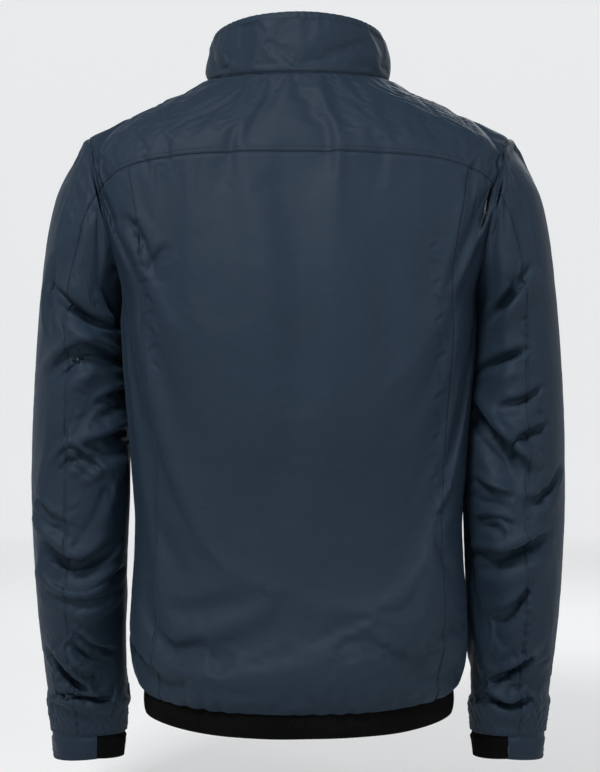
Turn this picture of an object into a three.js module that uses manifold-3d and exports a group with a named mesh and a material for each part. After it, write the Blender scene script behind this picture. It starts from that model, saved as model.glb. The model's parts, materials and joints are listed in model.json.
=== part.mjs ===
// Foul weather jacket with a zipped front, a stand collar and an elastic hem.
// Millimetres, +Z up. The back of the jacket faces +Y and the wearer's left is +X.
// The origin is the top of the hanger loop, inside the back of the neck.
import * as THREE from "three";
import { mergeVertices } from "three/addons/utils/BufferGeometryUtils.js";
import Module from "manifold-3d";

const wasm = await Module();
wasm.setup();

// ---------- driving dimensions ----------
const MID_Y = -60; // the plane through both shoulders
const SEAM_GAP = 0.4; // between panels that are sewn edge to edge
const SHELL_T = 1.2;
const BAG_INSET = 4.2;
const BAG_T = 0.8;
const LINING_INSET = 5.8;
const LINING_T = 1.2;
const SLEEVE_LINING_INSET = 2.4;
const LINING_LIFT = 26; // how far the body linings stop above the rib
const RIB_T = 2.2;
const CUFF_T = 2;

const HEM_TOP_Z = -652; // where the shell is gathered into the elastic rib
const HEM_LOW_Z = -681;
const SHOULDER_Z = -48; // the shoulder tips
const SHOULDER_X = 228;
const UNDERARM_Z = -215;
const UNDERARM_X = 190;
const ARMHOLE_DEPTH = 82; // half the armhole, front to back
const BODY_POWER = 0.8; // below 1 the torso's section is squarer than an ellipse
const ARMHOLE_CROWD = 1.9; // how closely the lines round the torso crowd beside the armhole

const NECK = { halfWidth: 99, back: 70, midY: -15, backZ: 13, sideZ: 16, frontZ: -12 };
const COLLAR_TOP = { halfWidth: 95, back: 62, midY: -20, backZ: 78, sideZ: 73, frontZ: 58 };
const COLLAR_SWELL = 0.035; // the collar is this much wider half way up
const COLLAR_T = 1.5;
const COLLAR_LINING_INSET = 4.5;
const COLLAR_LINING_T = 2;

const ZIP_TOP_Z = 56;
const ZIP_TOP_DEPTH = 98; // from the shoulder plane forward to the zip's top
const ZIP_SLOPE = 0.065; // the front leans forward by this for each unit down
const ZIP_EDGE_X = 10; // half the gap between the two fronts
const FACING_X = 18; // where the linings stop beside the zip
const HEM_TAB_X = 48; // where the front hem tabs meet the rib

const YOKE_CENTRE_Z = -73;
const YOKE_DROP = 46; // how far the yoke seam falls from the centre to the armhole
const FRONT_YOKE_Z = -128;
const SIDE_SEAM_U = 0.6; // the side back seam's place between centre back (0) and side (1)

const BACK_SEAM_U = 4 / 9; // sleeve seams, in half turns from the outer fold
const CUFF_SPLIT_U = 0.53; // where the cuff's shell ends, behind the arm
const CUFF_SHELL_SPAN = 1.06; // how far the shell part reaches round, in half turns

// Height, half width and depth behind the shoulder plane of the torso below the arms.
const BODY_ROWS = [
  [-652, 171, 127],
  [-638, 178, 137],
  [-606, 183, 146],
  [-577, 183, 143],
  [-511, 178, 134],
  [-445, 176, 131],
  [-334, 184, 138],
  [-273, 190, 142],
  [-240, 191, 143],
  [-215, 190, 142],
  [-150, 190, 135],
  [-110, 190, 126],
  [-48, 190, 104],
];
const RIB_ROWS = [
  [-681, 168, 123],
  [-667, 170, 125],
  [-652, 169, 124],
];

// Sleeve sections from the armhole to the cuff: outer x and z, inner x and z, half depth,
// and how far the middle lies in front of the shoulder plane.
const SLEEVE_ROWS = [
  [0, 228, -48, 190, -215, 82, 0],
  [1, 248, -71, 192, -221, 83, 0],
  [2, 263, -96, 195, -228, 84, 0],
  [3, 273, -128, 197, -236, 84, 0],
  [4, 280, -170, 198, -246, 83, 0],
  [5, 285, -215, 197, -262, 82, 0],
  [6, 290, -275, 195, -295, 80, 0],
  [7, 294, -350, 189, -355, 77, 0],
  [8, 295, -440, 184, -440, 74, 0],
  [9, 293, -515, 187, -515, 69, 8],
  [10, 289, -580, 189, -580, 62, 17],
  [11, 284, -640, 189, -640, 53, 25],
  [12, 277, -694, 191, -694, 42, 31],
  [13, 273, -730, 195, -730, 36, 34],
];
const ELBOW_ROW = 8;
const CUFF_ROW = 12;
const END_ROW = 13;

const NAVY = { color: 0x2a3642, roughness: 0.62, metalness: 0 };
const DARK_NAVY = { color: 0x1d2731, roughness: 0.7, metalness: 0 };
const BLACK_ELASTIC = { color: 0x0c0c0d, roughness: 0.85, metalness: 0 };
const FLEECE = { color: 0x20262d, roughness: 0.95, metalness: 0 };
const ZIP_PLASTIC = { color: 0x15181b, roughness: 0.45, metalness: 0 };
const ZIP_METAL = { color: 0x6c7075, roughness: 0.3, metalness: 0.9 };

const jacket = new THREE.Group();

// ---------- helpers ----------
const lerp = THREE.MathUtils.lerp;
const QUARTER = Math.PI / 2;

// The value in a column of rows, read smoothly at x. The rows rise with x and hold past the ends.
function readRows(rows, column, x) {
  const last = rows.length - 1;
  if (x <= rows[0][0]) return rows[0][column];
  if (x >= rows[last][0]) return rows[last][column];
  let i = 0;
  while (x > rows[i + 1][0]) i += 1;
  const slopeAt = (k) => {
    const before = rows[Math.max(k - 1, 0)];
    const after = rows[Math.min(k + 1, last)];
    return (after[column] - before[column]) / (after[0] - before[0]);
  };
  const span = rows[i + 1][0] - rows[i][0];
  const t = (x - rows[i][0]) / span;
  const [a, b] = [rows[i][column], rows[i + 1][column]];
  const [ma, mb] = [slopeAt(i) * span, slopeAt(i + 1) * span];
  return (
    (2 * t ** 3 - 3 * t ** 2 + 1) * a +
    (t ** 3 - 2 * t ** 2 + t) * ma +
    (3 * t ** 2 - 2 * t ** 3) * b +
    (t ** 3 - t ** 2) * mb
  );
}

// A point under the surface pointAt(s, t): depth is measured square to it.
function skin(pointAt) {
  const step = 1e-3;
  const clamp = (x) => THREE.MathUtils.clamp(x, 0, 1);
  return (s, t, depth) => {
    const du = pointAt(clamp(s + step), t).sub(pointAt(clamp(s - step), t));
    const dv = pointAt(s, clamp(t + step)).sub(pointAt(s, clamp(t - step)));
    return pointAt(s, t).addScaledVector(dv.cross(du).normalize(), -depth);
  };
}

// A closed panel between two layers of layerAt(s, t, depth), s and t from 0 to 1. A closed
// panel runs right round, and an open one stops short of its neighbours by half the seam gap.
function panel(layerAt, across, up, thickness, inset = 0, closed = false) {
  const columns = closed ? across : across + 1;
  const rowLength = up + 1;
  const layer = (depth) => {
    const at = (i, j) => layerAt(i / across, j / up, depth);
    const points = [];
    for (let i = 0; i < columns; i += 1) {
      for (let j = 0; j <= up; j += 1) {
        const point = at(i, j);
        if (!closed && i === 0) stepToward(point, at(1, j));
        if (!closed && i === across) stepToward(point, at(across - 1, j));
        if (j === 0) stepToward(point, at(i, 1));
        if (j === up) stepToward(point, at(i, up - 1));
        points.push(point);
      }
    }
    return points;
  };
  const outer = layer(inset);
  const inner = layer(inset + thickness);
  const index = [];
  const quad = (a, b, c, d) => index.push(a, b, c, a, c, d);
  const out = (i, j) => (i % columns) * rowLength + j;
  const inn = (i, j) => outer.length + out(i, j);
  for (let i = 0; i < across; i += 1) {
    for (let j = 0; j < up; j += 1) {
      quad(out(i, j), out(i, j + 1), out(i + 1, j + 1), out(i + 1, j));
      quad(inn(i, j), inn(i + 1, j), inn(i + 1, j + 1), inn(i, j + 1));
    }
    quad(out(i, 0), out(i + 1, 0), inn(i + 1, 0), inn(i, 0));
    quad(out(i, up), inn(i, up), inn(i + 1, up), out(i + 1, up));
  }
  if (!closed) {
    for (let j = 0; j < up; j += 1) {
      quad(out(0, j), inn(0, j), inn(0, j + 1), out(0, j + 1));
      quad(out(across, j), out(across, j + 1), inn(across, j + 1), inn(across, j));
    }
  }
  const geometry = new THREE.BufferGeometry().setFromPoints(outer.concat(inner));
  geometry.setIndex(index);
  return geometry;
}

function stepToward(point, neighbour) {
  const step = neighbour.clone().sub(point);
  point.addScaledVector(step.normalize(), SEAM_GAP / 2);
}

function box(x0, x1, y0, y1, z0, z1) {
  const geometry = new THREE.BoxGeometry(x1 - x0, y1 - y0, z1 - z0);
  return geometry.translate((x0 + x1) / 2, (y0 + y1) / 2, (z0 + z1) / 2);
}

function solidOf(geometry) {
  const bare = geometry.clone();
  bare.deleteAttribute("normal");
  bare.deleteAttribute("uv");
  const merged = mergeVertices(bare, 1e-3);
  return new wasm.Manifold(
    new wasm.Mesh({
      numProp: 3,
      vertProperties: merged.attributes.position.array,
      triVerts: new Uint32Array(merged.index.array),
    }),
  );
}

function geometryOf(solid) {
  const mesh = solid.getMesh();
  const geometry = new THREE.BufferGeometry();
  geometry.setAttribute("position", new THREE.BufferAttribute(mesh.vertProperties, 3));
  geometry.setIndex(new THREE.BufferAttribute(mesh.triVerts, 1));
  return geometry;
}

function joined(...geometries) {
  return geometryOf(geometries.map(solidOf).reduce((a, b) => a.add(b)));
}

function add(name, geometry, finish, parent = jacket) {
  const mesh = new THREE.Mesh(geometry, new THREE.MeshStandardMaterial(finish));
  mesh.name = name;
  parent.add(mesh);
  return mesh;
}

// The same piece on the wearer's left and, mirrored, on the right.
function addPair(name, geometry, finish) {
  add(`${name}_left`, geometry, finish);
  add(`${name}_right`, geometry, finish).scale.x = -1;
}

// ---------- the torso's surface ----------
const zipY = (z) => MID_Y - ZIP_TOP_DEPTH - (ZIP_TOP_Z - z) * ZIP_SLOPE;

const armholeX = (z) =>
  lerp(UNDERARM_X, SHOULDER_X, (z - UNDERARM_Z) / (SHOULDER_Z - UNDERARM_Z));

const ARMHOLE_MID_Z = (SHOULDER_Z + UNDERARM_Z) / 2;
const ARMHOLE_HALF = (SHOULDER_Z - UNDERARM_Z) / 2;

function armholeHalfDepth(z) {
  const level = (z - ARMHOLE_MID_Z) / ARMHOLE_HALF;
  return ARMHOLE_DEPTH * Math.sqrt(Math.max(0, 1 - level ** 2));
}

// The angle round the armhole, from its lowest point, at a height.
const armholeAngle = (z) =>
  Math.acos(THREE.MathUtils.clamp((ARMHOLE_MID_Z - z) / ARMHOLE_HALF, -1, 1));

// A level ring. u runs from centre back (0) past the side (1) to centre front (2), and is
// negative on the wearer's right.
function ringPoint(rows, u, z, depth = 0) {
  const isBack = Math.abs(u) <= 1;
  const reach = (isBack ? readRows(rows, 2, z) : MID_Y - zipY(z)) - depth;
  const share = Math.min(Math.abs(u), 2 - Math.abs(u));
  const edgeTurn = armholeTurn(z, reach);
  const turn = share * QUARTER - (QUARTER - edgeTurn) * share ** ARMHOLE_CROWD;
  const x = Math.sign(u) * (ringHalfWidth(rows, z, edgeTurn) - depth) * Math.sin(turn) ** BODY_POWER;
  const y = reach * Math.max(0, Math.cos(turn)) ** BODY_POWER;
  return new THREE.Vector3(x, MID_Y + (isBack ? y : -y), z);
}

// Where a level ring meets the armhole: a quarter turn below and above it.
const armholeTurn = (z, reach) =>
  z > UNDERARM_Z ? Math.acos((armholeHalfDepth(z) / reach) ** (1 / BODY_POWER)) : QUARTER;

const ringHalfWidth = (rows, z, edgeTurn) =>
  z > UNDERARM_Z ? armholeX(z) / Math.sin(edgeTurn) ** BODY_POWER : readRows(rows, 1, z);

// The round neck edge, and the collar's top edge, as one rule.
function neckPoint(shape, u) {
  const turn = Math.min(Math.abs(u), 2 - Math.abs(u)) * QUARTER;
  const isBack = Math.abs(u) <= 1;
  const endZ = isBack ? shape.backZ : shape.frontZ;
  const endY = isBack ? MID_Y + shape.back : zipY(shape.frontZ);
  const sideY = MID_Y + shape.midY;
  return new THREE.Vector3(
    Math.sign(u) * shape.halfWidth * Math.sin(turn),
    lerp(sideY, endY, Math.cos(turn)),
    lerp(shape.sideZ, endZ, Math.cos(turn) ** 2),
  );
}

// The whole torso: h up to the shoulder tips is a height, and past them it runs from 0 to 1
// over the shoulders to the neck.
function torsoPoint(u, h) {
  if (h <= 0) return ringPoint(BODY_ROWS, u, SHOULDER_Z + h);
  return ringPoint(BODY_ROWS, u, SHOULDER_Z).lerp(neckPoint(NECK, u), h);
}

// The same, set in level by level, for the linings.
function liningPoint(u, h, depth) {
  if (h <= 0) return ringPoint(BODY_ROWS, u, SHOULDER_Z + h, depth);
  const neck = neckPoint(NECK, u);
  const middle = new THREE.Vector3(0, MID_Y, neck.z);
  neck.lerp(middle, depth / NECK.halfWidth);
  const point = ringPoint(BODY_ROWS, u, SHOULDER_Z, depth).lerp(neck, h);
  point.z -= depth * h;
  return point;
}

const heightToH = (z) => z - SHOULDER_Z;

function collarPoint(u, w) {
  const point = neckPoint(NECK, u).lerp(neckPoint(COLLAR_TOP, u), w);
  point.x *= 1 + COLLAR_SWELL * Math.sin(Math.PI * w);
  return point;
}

// u on the front where the surface is x from the centre line.
const frontU = (x, halfWidth, power) =>
  2 - Math.asin((x / halfWidth) ** (1 / power)) / QUARTER;

function torsoFrontU(x, h) {
  if (h > 0) return lerp(frontU(x, SHOULDER_X, BODY_POWER), frontU(x, NECK.halfWidth, 1), h);
  const z = SHOULDER_Z + h;
  const edgeTurn = armholeTurn(z, MID_Y - zipY(z));
  return frontU(x, ringHalfWidth(BODY_ROWS, z, edgeTurn), BODY_POWER);
}

const YOKE_CURVE = 2.2; // how late the yoke seam falls on its way to the armhole
const yokeZ = (u) => YOKE_CENTRE_Z - YOKE_DROP * Math.abs(u) ** YOKE_CURVE;

// Heights from the hem up past the underarm to topZ, as h, with rows that follow the armhole.
const BODY_SHARE = 0.6;
function rise(topZ, t, bottomZ = HEM_TOP_Z) {
  if (t < BODY_SHARE) return heightToH(lerp(bottomZ, UNDERARM_Z, t / BODY_SHARE));
  const angle = lerp(0, armholeAngle(topZ), (t - BODY_SHARE) / (1 - BODY_SHARE));
  return heightToH(ARMHOLE_MID_Z - ARMHOLE_HALF * Math.cos(angle));
}

// Heights from lowZ up the armhole to the shoulder tip and on over the shoulder to the neck.
const SHOULDER_SHARE = 0.4;
function climb(lowZ, t) {
  const start = 1 - SHOULDER_SHARE;
  if (t > start) return (t - start) / SHOULDER_SHARE;
  const angle = lerp(armholeAngle(lowZ), Math.PI, t / start);
  return heightToH(ARMHOLE_MID_Z - ARMHOLE_HALF * Math.cos(angle));
}

// The fronts start just past the side, where the armhole's front edge is.
const FRONT_SIDE_U = 1 + 1e-6;

// ---------- torso panels ----------
function addBack() {
  const upTo = (u, t) => torsoPoint(u, rise(yokeZ(u), t));
  const backPanel = (s, t) => upTo(lerp(-SIDE_SEAM_U, SIDE_SEAM_U, s), t);
  const sideBack = (s, t) => upTo(lerp(SIDE_SEAM_U, 1, s), t);
  const yoke = (s, t) => {
    const u = lerp(-1, 1, s);
    return torsoPoint(u, climb(yokeZ(u), t));
  };
  add("back_panel", panel(skin(backPanel), 12, 15, SHELL_T), NAVY);
  addPair("side_back_panel", panel(skin(sideBack), 4, 15, SHELL_T), NAVY);
  add("back_yoke", panel(skin(yoke), 20, 10, SHELL_T), NAVY);
}

function addFronts() {
  const across = (h, s) => torsoPoint(lerp(FRONT_SIDE_U, torsoFrontU(ZIP_EDGE_X, h), s), h);
  const front = (s, t) => across(rise(FRONT_YOKE_Z, t), s);
  const frontYoke = (s, t) => across(climb(FRONT_YOKE_Z, t), s);
  const sheet = solidOf(panel(skin(front), 8, 15, SHELL_T));
  const withPocket = sheet.subtract(solidOf(pocketCut()));
  addPair("front_panel", geometryOf(withPocket), NAVY);
  addPair("front_yoke", panel(skin(frontYoke), 10, 10, SHELL_T), NAVY);
}

const LINING_SPLIT = 0.625; // the share of a lining's rows that lie below the chest
function liningHeight(t) {
  if (t < LINING_SPLIT) return rise(FRONT_YOKE_Z, t / LINING_SPLIT, HEM_TOP_Z + LINING_LIFT);
  return climb(FRONT_YOKE_Z, (t - LINING_SPLIT) / (1 - LINING_SPLIT));
}

function addLinings() {
  const back = (s, t, depth) => liningPoint(lerp(-1, 1, s), liningHeight(t), depth);
  const front = (s, t, depth) => {
    const h = liningHeight(t);
    return liningPoint(lerp(FRONT_SIDE_U, torsoFrontU(FACING_X, h), s), h, depth);
  };
  add("back_lining", panel(back, 12, 16, LINING_T, LINING_INSET), FLEECE);
  addPair("front_lining", panel(front, 6, 16, LINING_T, LINING_INSET), FLEECE);
}

function addCollar() {
  const edge = frontU(ZIP_EDGE_X, NECK.halfWidth, 1);
  const liningEdge = frontU(FACING_X, NECK.halfWidth, 1);
  const outer = (s, t) => collarPoint(lerp(-edge, edge, s), t);
  const lining = (s, t) => collarPoint(lerp(-liningEdge, liningEdge, s), t);
  add("collar", panel(skin(outer), 28, 4, COLLAR_T), NAVY);
  add(
    "collar_lining",
    panel(skin(lining), 24, 4, COLLAR_LINING_T, COLLAR_LINING_INSET),
    FLEECE,
  );
}

function addHem() {
  const ribEdge = frontU(HEM_TAB_X, RIB_ROWS[1][1], BODY_POWER);
  const tabEdge = frontU(ZIP_EDGE_X, RIB_ROWS[1][1], BODY_POWER);
  const height = (t) => lerp(HEM_LOW_Z, HEM_TOP_Z, t);
  const rib = (s, t) => ringPoint(RIB_ROWS, lerp(-ribEdge, ribEdge, s), height(t));
  const tab = (s, t) => ringPoint(RIB_ROWS, lerp(ribEdge, tabEdge, s), height(t));
  add("hem_rib", panel(skin(rib), 32, 2, RIB_T), BLACK_ELASTIC);
  addPair("hem_tab", panel(skin(tab), 3, 2, RIB_T), NAVY);
}

// ---------- sleeves ----------
// u counts half turns from the outer fold, over the back of the arm. row runs down the arm.
function sleevePoint(u, row, depth = 0) {
  const read = (column) => readRows(SLEEVE_ROWS, column, row);
  const turn = u * Math.PI;
  const outer = new THREE.Vector2(read(1), read(2));
  const inner = new THREE.Vector2(read(3), read(4));
  const middle = inner.clone().add(outer).divideScalar(2);
  const reach = outer.clone().sub(middle);
  reach.setLength(reach.length() - depth);
  const spot = middle.addScaledVector(reach, Math.cos(turn));
  const y = MID_Y - read(6) + (read(5) - depth) * Math.sin(turn);
  return new THREE.Vector3(spot.x, y, spot.y);
}

function sleevePart(u0, u1, row0, row1) {
  return (s, t, depth) => sleevePoint(lerp(u0, u1, s), lerp(row0, row1, t), depth);
}

function addSleeves() {
  const [top, under] = [[-BACK_SEAM_U, BACK_SEAM_U], [BACK_SEAM_U, 2 - BACK_SEAM_U]];
  const upper = [0, ELBOW_ROW];
  const fore = [ELBOW_ROW, CUFF_ROW];
  const cuff = [CUFF_ROW, END_ROW];
  const shell = [CUFF_SPLIT_U - CUFF_SHELL_SPAN, CUFF_SPLIT_U];
  const elastic = [CUFF_SPLIT_U, 2 + shell[0]];
  addPair("upper_sleeve_top", panel(sleevePart(...top, ...upper), 8, 8, SHELL_T), NAVY);
  addPair("upper_sleeve_under", panel(sleevePart(...under, ...upper), 10, 8, SHELL_T), NAVY);
  addPair("forearm_top", panel(sleevePart(...top, ...fore), 8, 4, SHELL_T), NAVY);
  addPair("forearm_under", panel(sleevePart(...under, ...fore), 10, 4, SHELL_T), NAVY);
  addPair("cuff_shell", panel(sleevePart(...shell, ...cuff), 8, 2, CUFF_T), NAVY);
  addPair("cuff_elastic", panel(sleevePart(...elastic, ...cuff), 8, 2, CUFF_T), BLACK_ELASTIC);
  const lining = (span, rows) =>
    panel(sleevePart(0, 2, ...span), 18, rows, LINING_T, SLEEVE_LINING_INSET, true);
  addPair("upper_sleeve_lining", lining(upper, 8), DARK_NAVY);
  addPair("forearm_lining", lining(fore, 4), DARK_NAVY);
}

// ---------- zips ----------
// A zip's own frame: z runs up the zip, -y faces out of the cloth, and y = 0 is its outer face.
const CHAIN = { gap: 0.5, width: 2.2, front: 1.1, back: 4.1 };
const TAPE = { start: 3.1, end: 12, front: 2.6, back: 3.3 };
const SLIDER = { length: 12, halfWidth: 4.6, plate: 2, backPlate: 1.1, web: 0.25, clearance: 0.4 };
const EYE = { radius: 1.7, bore: 1, pin: 0.6, drop: 2.1, halfWidth: 2, earWidth: 1.1, play: 0.3 };
const FUSE = 0.5; // how far joined parts of one piece run into each other
const PULL_LENGTH = 30;
const PULL_T = 1.2;
const STOP_LENGTH = 3;
const ZIP_END = 1; // how far the tape and the top stops end below the zip's top
const ZIP_PLAY = 0.5; // between a zip's separate parts, along it
const RETAINER = { length: 10, halfWidth: 2.8, proud: 0.4 };
const FLAP = { halfWidth: 16, standOff: 2.6, thickness: 1, guardThickness: 1.4, guardLength: 45 };
const CUT_REACH = 12; // how far a cutting block reaches past the cloth on each side

function sliderGeometry() {
  const front = CHAIN.front - SLIDER.clearance;
  const back = CHAIN.back + SLIDER.clearance;
  const half = SLIDER.length / 2;
  const web = box(-SLIDER.web, SLIDER.web, front - FUSE, back + FUSE, -half, half);
  const face = front - SLIDER.plate;
  const frontPlate = box(-SLIDER.halfWidth, SLIDER.halfWidth, face, front, -half, half);
  const backEnd = back + SLIDER.backPlate;
  const backPlate = box(-SLIDER.halfWidth, SLIDER.halfWidth, back, backEnd, -half, half);
  const eyeY = face - EYE.drop;
  const earStart = EYE.halfWidth + EYE.play;
  const ear = (side) => {
    const x = side * (earStart + EYE.earWidth / 2);
    const [x0, x1] = [x - EYE.earWidth / 2, x + EYE.earWidth / 2];
    return box(x0, x1, eyeY - EYE.radius, face + FUSE, -EYE.radius, EYE.radius);
  };
  const reach = 2 * earStart + EYE.earWidth;
  const pin = new THREE.CylinderGeometry(EYE.pin, EYE.pin, reach, 10);
  pin.rotateZ(QUARTER).translate(0, eyeY, 0);
  return joined(web, frontPlate, backPlate, ear(-1), ear(1), pin);
}

function pullerGeometry(length) {
  const eyeY = CHAIN.front - SLIDER.clearance - SLIDER.plate - EYE.drop;
  const side = new THREE.Shape();
  const tabHalf = PULL_T / 2;
  const meet = Math.sqrt(EYE.radius ** 2 - tabHalf ** 2);
  const startAngle = Math.atan2(-meet, -tabHalf);
  side.absarc(0, 0, EYE.radius, startAngle, Math.atan2(-meet, tabHalf), true);
  side.lineTo(tabHalf, -length);
  side.lineTo(-tabHalf, -length);
  side.closePath();
  const bore = new THREE.Path();
  bore.absarc(0, 0, EYE.bore, 0, Math.PI * 2, false);
  side.holes.push(bore);
  const eye = new THREE.ExtrudeGeometry(side, {
    depth: 2 * EYE.halfWidth,
    bevelEnabled: false,
    curveSegments: 10,
  });
  // The outline was drawn in x and y: turn it to stand in y and z, centred on x.
  eye.translate(0, 0, -EYE.halfWidth);
  eye.applyMatrix4(
    new THREE.Matrix4().makeBasis(
      new THREE.Vector3(0, 1, 0),
      new THREE.Vector3(0, 0, 1),
      new THREE.Vector3(1, 0, 0),
    ),
  );
  return eye.translate(0, eyeY, 0);
}

function addMainZip() {
  const zip = new THREE.Group();
  zip.position.set(0, zipY(ZIP_TOP_Z), ZIP_TOP_Z);
  zip.rotation.x = -Math.atan(ZIP_SLOPE);
  jacket.add(zip);
  const length = (ZIP_TOP_Z - HEM_LOW_Z) * Math.hypot(1, ZIP_SLOPE);
  const low = -length + RETAINER.length + ZIP_PLAY;
  const stopEnd = -ZIP_END - STOP_LENGTH;
  const chainEnd = CHAIN.gap + CHAIN.width;
  const tape = box(TAPE.start, TAPE.end, TAPE.front, TAPE.back, -length, -ZIP_END);
  const chain = box(CHAIN.gap, chainEnd, CHAIN.front, CHAIN.back, low, stopEnd - ZIP_PLAY);
  const stop = box(CHAIN.gap, chainEnd, CHAIN.front, CHAIN.back, stopEnd, -ZIP_END);
  for (const [suffix, side] of [["left", 1], ["right", -1]]) {
    add(`zip_tape_${suffix}`, tape, DARK_NAVY, zip).scale.x = side;
    add(`zip_teeth_${suffix}`, chain, ZIP_PLASTIC, zip).scale.x = side;
    add(`zip_top_stop_${suffix}`, stop, ZIP_PLASTIC, zip).scale.x = side;
  }
  const retainer = box(
    -RETAINER.halfWidth,
    RETAINER.halfWidth,
    CHAIN.front - RETAINER.proud,
    CHAIN.back + RETAINER.proud,
    -length,
    -length + RETAINER.length,
  );
  add("zip_retainer_box", retainer, ZIP_PLASTIC, zip);
  const restZ = stopEnd - 2 * ZIP_PLAY - SLIDER.length / 2;
  add("zip_slider", sliderGeometry(), ZIP_METAL, zip).position.z = restZ;
  add("zip_puller", pullerGeometry(PULL_LENGTH), ZIP_METAL, zip).position.z = restZ;
  const strip = (thickness, z0, z1) => {
    const y0 = CHAIN.back + FLAP.standOff;
    return box(-FLAP.halfWidth, FLAP.halfWidth, y0, y0 + thickness, z0, z1);
  };
  const flapTop = -FLAP.guardLength - SEAM_GAP;
  add("storm_flap", strip(FLAP.thickness, -length, flapTop), NAVY, zip);
  add("chin_guard", strip(FLAP.guardThickness, -FLAP.guardLength, -ZIP_PLAY), FLEECE, zip);
}

// ---------- pockets ----------
const POCKET = {
  top: { u: 1.66, z: -396 },
  low: { u: 1.47, z: -556 },
  zipLength: 150,
  pull: 24,
  welt: 22,
  weltEnd: 8,
  slot: 11,
  thickness: 1.6,
  standOff: 0.6,
  weltLift: -2.4,
  zipLift: -2.6, // the chain lies nearer the face than the main one
};
const BAG = { u0: 1.42, u1: 1.86, topZ: -385, lowZ: -600 };

// The frame of a pocket zip, lying on the front between its top and low ends.
function pocketFrame() {
  const at = ({ u, z }) => torsoPoint(u, heightToH(z));
  const top = at(POCKET.top);
  const low = at(POCKET.low);
  const middle = torsoPoint(
    (POCKET.top.u + POCKET.low.u) / 2,
    heightToH((POCKET.top.z + POCKET.low.z) / 2),
  );
  const up = top.clone().sub(low).normalize();
  const across = torsoPoint(POCKET.top.u - 0.1, heightToH(POCKET.low.z))
    .sub(torsoPoint(POCKET.top.u, heightToH(POCKET.low.z)))
    .normalize();
  const inward = up.clone().cross(across).normalize();
  const side = inward.clone().cross(up).normalize();
  const frame = new THREE.Matrix4().makeBasis(side, inward, up);
  frame.setPosition(middle.addScaledVector(inward, -POCKET.standOff));
  return frame;
}

const inPocket = (geometry) => geometry.applyMatrix4(pocketFrame());

function pocketCut() {
  const half = POCKET.zipLength / 2 + 2;
  const reach = POCKET.slot / 2;
  return inPocket(box(-reach, reach, -CUT_REACH, CUT_REACH, -half, half));
}

// A flat plate with a slot, standing in x and z, from y0 to y1.
function slotted(halfWidth, halfLength, slotHalfWidth, slotHalfLength, y0, y1) {
  const plate = solidOf(box(-halfWidth, halfWidth, y0, y1, -halfLength, halfLength));
  const slot = box(-slotHalfWidth, slotHalfWidth, y0 - 1, y1 + 1, -slotHalfLength, slotHalfLength);
  return geometryOf(plate.subtract(solidOf(slot)));
}

function addPockets() {
  const half = POCKET.zipLength / 2;
  const chainHalf = CHAIN.gap + CHAIN.width;
  const lift = POCKET.zipLift;
  const welt = slotted(
    POCKET.welt / 2,
    half + POCKET.weltEnd,
    POCKET.slot / 2,
    half + 1,
    POCKET.weltLift - POCKET.thickness,
    POCKET.weltLift,
  );
  const chain = slotted(
    chainHalf,
    half,
    CHAIN.gap,
    half - STOP_LENGTH,
    CHAIN.front + lift,
    CHAIN.back + lift,
  );
  const restZ = half - STOP_LENGTH - ZIP_PLAY - SLIDER.length / 2;
  addPair("pocket_welt", inPocket(welt), NAVY);
  addPair("pocket_zip", inPocket(chain), ZIP_PLASTIC);
  addPair("pocket_slider", inPocket(sliderGeometry().translate(0, lift, restZ)), ZIP_METAL);
  addPair(
    "pocket_puller",
    inPocket(pullerGeometry(POCKET.pull).translate(0, lift, restZ)),
    ZIP_METAL,
  );
  const bag = (s, t) =>
    torsoPoint(lerp(BAG.u0, BAG.u1, s), heightToH(lerp(BAG.lowZ, BAG.topZ, t)));
  addPair("pocket_bag", panel(skin(bag), 5, 6, BAG_T, BAG_INSET), DARK_NAVY);
}

// ---------- hanger loop ----------
function addHangerLoop() {
  const span = 30;
  const tape = 7;
  const thickness = 1.6;
  const straight = 12; // below the half round
  const outline = new THREE.Shape();
  outline.absarc(0, -span / 2, span / 2, 0, Math.PI, false);
  outline.lineTo(-span / 2, -span / 2 - straight);
  outline.lineTo(span / 2, -span / 2 - straight);
  outline.closePath();
  const hole = new THREE.Path();
  const innerRadius = span / 2 - thickness;
  const holeEnd = -span / 2 - straight + thickness;
  hole.absarc(0, -span / 2, innerRadius, 0, Math.PI, false);
  hole.lineTo(-innerRadius, holeEnd);
  hole.lineTo(innerRadius, holeEnd);
  hole.closePath();
  outline.holes.push(hole);
  const loop = new THREE.ExtrudeGeometry(outline, {
    depth: tape,
    bevelEnabled: false,
    curveSegments: 12,
  });
  // Stand the outline up in x and z, with the tape's width front to back.
  loop.rotateX(QUARTER).translate(0, tape / 2, 0);
  add("hanger_loop", loop, DARK_NAVY);
}

addBack();
addFronts();
addLinings();
addCollar();
addHem();
addSleeves();
addMainZip();
addPockets();
addHangerLoop();

export default jacket;
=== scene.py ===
import json
import math

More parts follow.
